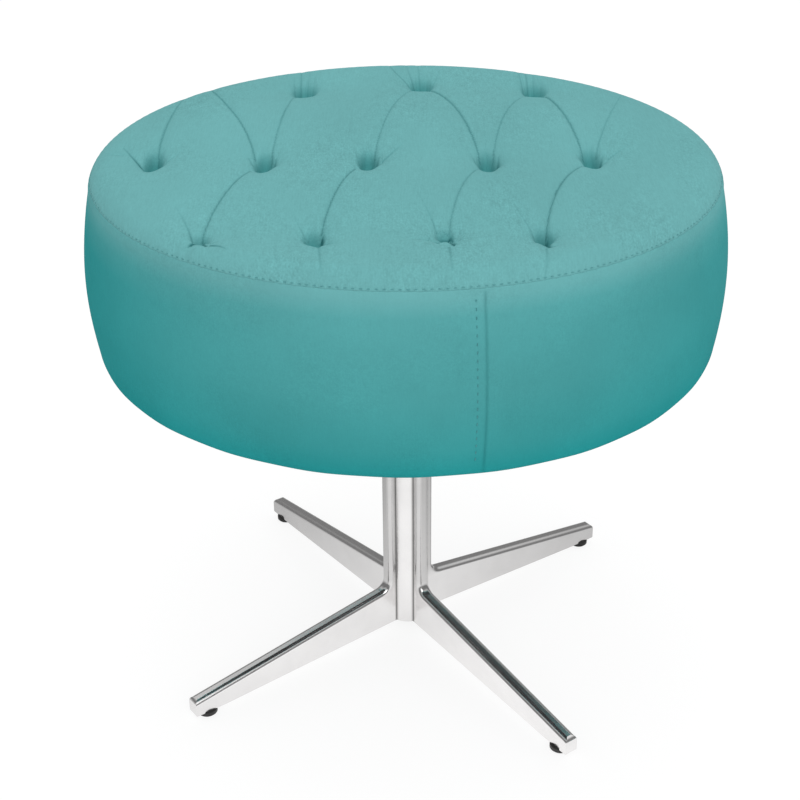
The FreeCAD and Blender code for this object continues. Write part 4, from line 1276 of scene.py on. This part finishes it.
def base_finish(name, riser_painted_shade):
    """Polished steel with painted shade: it dims to a share up the risers, and its welds are darkened.
    """
    material = metal_finish(name, BRIGHT_STEEL, DULL_STEEL, 0.18, 0.28, POLISH_LINES, 0.02 * MM)
    tree = material.node_tree
    base_colour = tree.nodes["Principled BSDF"].inputs["Base Color"]
    place = tree.nodes.new("ShaderNodeTexCoord").outputs["Object"]
    height = put(tree, "ShaderNodeSeparateXYZ", {"Vector": place}).outputs["Z"]
    # painted shade up the risers
    shade = span(tree, height, *RISER_FOOT, 1.0, riser_painted_shade)
    plain = base_colour.links[0].from_socket
    dimmed = put(tree, "ShaderNodeVectorMath", {0: plain, "Scale": shade}, operation="SCALE").outputs[0]
    # painted shade along the welds
    weld_shade_mask = use_group(tree, weld_shade_lines, {"Place": place}).outputs["Mask"]
    weld_shaded = blend(tree, calc(tree, "MULTIPLY", weld_shade_mask, WELD_SHADE_SHARE), dimmed, WELD_SHADE_COLOUR)
    tree.links.new(weld_shaded, base_colour)
    return material


leg_names = [name for name in nodes if name.startswith("leg_")]
dress(base_finish("polished_legs", RISER_PAINTED_SHADE), *leg_names)
dress(base_finish("polished_tube", TUBE_PAINTED_SHADE), "column_tube", "bearing_cup")
print("polish on", len(leg_names), "leg parts, tube and cup; weld lines at", round(weld_reach, 4))

# %% [markdown]
# ## The turning group
# Spindle, races and balls are turned or ground, so their lines run round; pressed and plated parts
# have them lengthways. One table holds what differs.

# %% Finish the turning group
ROUND_LINES = (300.0, 300.0, 4000.0)
FLAT_LINES = (2500.0, 60.0, 400.0)
# bright and dull colour, smooth and rough value, the lines and their depth, and the parts
METALS = {
    "turned_steel": ((0.56, 0.56, 0.58, 1), (0.40, 0.40, 0.41, 1), 0.22, 0.42, ROUND_LINES, 0.05 * MM,
                     ["spindle", "retaining_ring"]),
    "bearing_steel": ((0.66, 0.66, 0.68, 1), (0.52, 0.52, 0.53, 1), 0.12, 0.25, ROUND_LINES, 0.03 * MM,
                      ["lower_race", "upper_race", "bearing_balls"]),
    "cage_brass": ((0.78, 0.60, 0.30, 1), (0.55, 0.40, 0.20, 1), 0.2, 0.4, FLAT_LINES, 0.04 * MM,
                   ["ball_cage"]),
    "bright_zinc": ((0.74, 0.75, 0.76, 1), (0.55, 0.56, 0.58, 1), 0.25, 0.45, FLAT_LINES, 0.05 * MM,
                    ["plate_bolts", "plate_washers", "tee_nuts", "post_screws", "dust_cover_staples"]),
}
dress_all(metal_finish, METALS)

# %% [markdown]
# ## Plastic and paint
# Moulded plastic and powder coat share a fine pebbled skin.
# The group gives its height and a slight change of shade.

# %% Moulded skins
SCUFFS = 70.0


def skin_group():
    """Pebbles as a height, and scuffs that lighten the colour and roughen it."""
    inputs = [("Place", "Vector"), ("Dark", "Color"), ("Light", "Color"), ("Scale", "Float")]
    outputs = [("Color", "Color"), ("Roughness", "Float"), ("Height", "Float")]
    tree, given, out = new_group("moulded_skin", inputs, outputs)
    pebble = noise(tree, given["Place"], given["Scale"], 2.0, 0.5)
    scuff = noise(tree, given["Place"], SCUFFS, 5.0, 0.65)
    colour = blend(tree, span(tree, scuff, 0.35, 0.75), given["Dark"], given["Light"])
    tree.links.new(colour, out["Color"])
    tree.links.new(span(tree, scuff, 0.3, 0.8, 0.38, 0.62), out["Roughness"])
    tree.links.new(pebble, out["Height"])
    return tree


moulded_skin = skin_group()


def moulded_finish(name, dark, light, scale, depth):
    """A skin of pebbles of one size, between a dark and a light colour."""
    material, tree, shader, place = new_finish(name)
    skin = use_group(tree, moulded_skin, {"Place": place, "Dark": dark, "Light": light, "Scale": scale})
    tree.links.new(skin.outputs["Color"], shader.inputs["Base Color"])
    tree.links.new(skin.outputs["Roughness"], shader.inputs["Roughness"])
    bump(tree, shader, skin.outputs["Height"], depth, 0.5)
    return material


# dark and light colour, scale and depth of the pebbles, and the parts
MOULDED = {
    "black_glide": ((0.010, 0.010, 0.010, 1), (0.030, 0.029, 0.028, 1), 1400.0, 0.08 * MM,
                    [name for name in nodes if name.startswith("glide_")]),
    "black_plastic": ((0.020, 0.020, 0.020, 1), (0.045, 0.045, 0.045, 1), 1400.0, 0.08 * MM,
                      ["column_plug", "tuft_toggles"]),
    "white_nylon": ((0.78, 0.77, 0.71, 1), (0.88, 0.87, 0.82, 1), 900.0, 0.05 * MM,
                    ["upper_bush", "lower_bush", "thrust_washer"]),
    "black_plate": ((0.030, 0.030, 0.032, 1), (0.060, 0.060, 0.064, 1), 1100.0, 0.15 * MM,
                    ["mounting_plate"]),
}
dress_all(moulded_finish, MOULDED)

# %% [markdown]
# ## Wood inside the seat
# Boards, posts and hoop never show while the seat is whole, but the parts are kept separately,
# so they get wood too: growth rings stretched along the grain, with pores.

# %% Finish the wood
BAND_SHARE, PORE_SHARE = 0.6, 0.4
PORES = 9.0


def grain_group():
    """Wavering bands and pores, both stretched along the grain, mix a pale and a dark colour."""
    inputs = [("Place", "Vector"), ("Pale", "Color"), ("Dark", "Color"), ("Stretch", "Vector")]
    tree, given, out = new_group("wood_grain", inputs, [("Color", "Color"), ("Height", "Float")])
    values = {0: given["Place"], 1: given["Stretch"]}
    along = put(tree, "ShaderNodeVectorMath", values, operation="MULTIPLY").outputs[0]
    waves = {"Vector": along, "Scale": 1.0, "Distortion": 5.0, "Detail": 3.0}
    bands = put(tree, "ShaderNodeTexWave", waves).outputs["Fac"]
    pores = noise(tree, along, PORES, 4.0, 0.7)
    share = calc(tree, "ADD", calc(tree, "MULTIPLY", bands, BAND_SHARE),
                 calc(tree, "MULTIPLY", pores, PORE_SHARE))
    tree.links.new(blend(tree, share, given["Dark"], given["Pale"]), out["Color"])
    tree.links.new(pores, out["Height"])
    return tree


wood_grain = grain_group()


def wood_finish(name, pale, dark, stretch):
    """A wood by its two colours and its stretch; the grain runs along the smallest number's axis."""
    material, tree, shader, place = new_finish(name, Roughness=0.7)
    values = {"Place": place, "Pale": pale, "Dark": dark, "Stretch": stretch}
    grain = use_group(tree, wood_grain, values)
    tree.links.new(grain.outputs["Color"], shader.inputs["Base Color"])
    bump(tree, shader, grain.outputs["Height"], 0.2 * MM, 0.4)
    return material


# pale and dark colour, stretch of the grain, and the parts
WOODS = {
    "plywood": ((0.72, 0.56, 0.38, 1), (0.55, 0.40, 0.24, 1), (40.0, 4.0, 40.0),
                ["bottom_board", "top_board"]),
    "hardboard": ((0.42, 0.28, 0.17, 1), (0.28, 0.17, 0.09, 1), (90.0, 90.0, 90.0), ["side_hoop"]),
    "softwood": ((0.80, 0.64, 0.43, 1), (0.60, 0.42, 0.24, 1), (60.0, 60.0, 5.0),
                 [f"frame_post_{number}" for number in range(1, 5)]),
}
dress_all(wood_finish, WOODS)

# %% [markdown]
# ## Floor and light
# The setting is a white studio: a pale floor that runs out of sight and a white surround.
# The floor glows a little for the camera, so that it reads as white while the soft shadow under
# the seat stays. In the polished legs it shows mostly a painted pool of light that glows brightly in
# front of the column and dims further out, and the room above it is dim, which gives the metal its
# contrast.

# %% Set the studio
WHITE = (1, 1, 1, 1)
FLOOR_EDGE = 40.0
FLOOR_COLOUR = (0.93, 0.93, 0.93, 1)
FLOOR_GLOW = (1.06, 1.06, 1.06, 1)
# a painted pool of light on the floor, seen only in mirrors
POOL_PLACE = (0.0, -0.22, 0.0)
POOL_REACH, POOL_GLOW = (0.12, 0.52), (1.12, 0.36)
CAMERA_SHARE, MIRROR_SHARE = 0.8, 0.85
ROOM_RISE, ROOM_GLOW = (0.5, 0.9), (0.2, 1.0)
LIT_STRENGTH, SEEN_STRENGTH = 0.88, 1.0


def studio_floor():
    """A wide plane that glows where the camera or a mirror looks at it.

    The glow takes the place of a share of its shading. In a mirror it is a painted pool of light,
    which fades with the distance from the pool's middle.
    """
    corners = np.array([(-1, -1, 0), (1, -1, 0), (1, 1, 0), (-1, 1, 0)]) * FLOOR_EDGE
    floor = add_mesh("floor", corners, np.array([(0, 1, 2, 3)]))
    material, tree, shader, place = new_finish("floor_white", Base_Color=FLOOR_COLOUR, Roughness=1.0,
                                               Specular_IOR_Level=0.0)
    rays = tree.nodes.new("ShaderNodeLightPath").outputs
    pool = put(tree, "ShaderNodeVectorMath", {0: place, 1: POOL_PLACE}, operation="DISTANCE")
    # painted pool of light for mirrors
    painted_pool = span(tree, pool.outputs["Value"], *POOL_REACH, *POOL_GLOW)
    strength = blend(tree, rays["Is Glossy Ray"], FLOOR_GLOW, painted_pool)
    glow = put(tree, "ShaderNodeEmission", {"Color": WHITE, "Strength": strength})
    share = calc(tree, "MAXIMUM", calc(tree, "MULTIPLY", rays["Is Camera Ray"], CAMERA_SHARE),
                 calc(tree, "MULTIPLY", rays["Is Glossy Ray"], MIRROR_SHARE))
    mix = put(tree, "ShaderNodeMixShader", {0: share, 1: shader.outputs[0], 2: glow.outputs[0]})
    tree.links.new(mix.outputs[0], tree.nodes["Material Output"].inputs["Surface"])
    floor.data.materials.append(material)


def studio_world():
    """A white surround; in a mirror it grows from dim at the sides to white overhead."""
    world = bpy.data.worlds.new("studio")
    scene.world = world
    world.use_nodes = True
    tree = world.node_tree
    rays = tree.nodes.new("ShaderNodeLightPath").outputs
    way = tree.nodes.new("ShaderNodeTexCoord").outputs["Generated"]
    rise = put(tree, "ShaderNodeSeparateXYZ", {"Vector": way}).outputs["Z"]
    room = span(tree, rise, *ROOM_RISE, *ROOM_GLOW)
    seen = calc(tree, "MAXIMUM", rays["Is Camera Ray"], rays["Is Transmission Ray"])
    plain = span(tree, seen, 0.0, 1.0, LIT_STRENGTH, SEEN_STRENGTH)
    background = tree.nodes["Background"]
    background.inputs["Color"].default_value = WHITE
    tree.links.new(blend(tree, rays["Is Glossy Ray"], plain, room), background.inputs["Strength"])


studio_floor()
studio_world()
print("floor and world set")

# %% [markdown]
# ## Lamps
# One wide soft lamp stands low in front on the right, and another hangs high behind.

# %% Hang the lamps
SEAT_MIDDLE = (0, 0, 0.4)


def soft_lamp(name, place, aim, width, watts):
    """A round lamp at a place, turned to face its aim."""
    data = bpy.data.lights.new(name, "AREA")
    data.shape = "DISK"
    data.size = width
    data.energy = watts
    lamp = bpy.data.objects.new(name, data)
    scene.collection.objects.link(lamp)
    way = Matrix.Translation(place).translation - Matrix.Translation(aim).translation
    lamp.matrix_world = Matrix.Translation(place) @ way.to_track_quat("Z", "Y").to_matrix().to_4x4()


soft_lamp("front_lamp", (0.7, -2.0, 1.5), SEAT_MIDDLE, 1.6, 11)
soft_lamp("top_lamp", (-0.2, 0.5, 2.4), SEAT_MIDDLE, 1.8, 8)
scene.view_settings.view_transform = "Standard"
print("lamps:", *[lamp.name for lamp in bpy.data.lights])
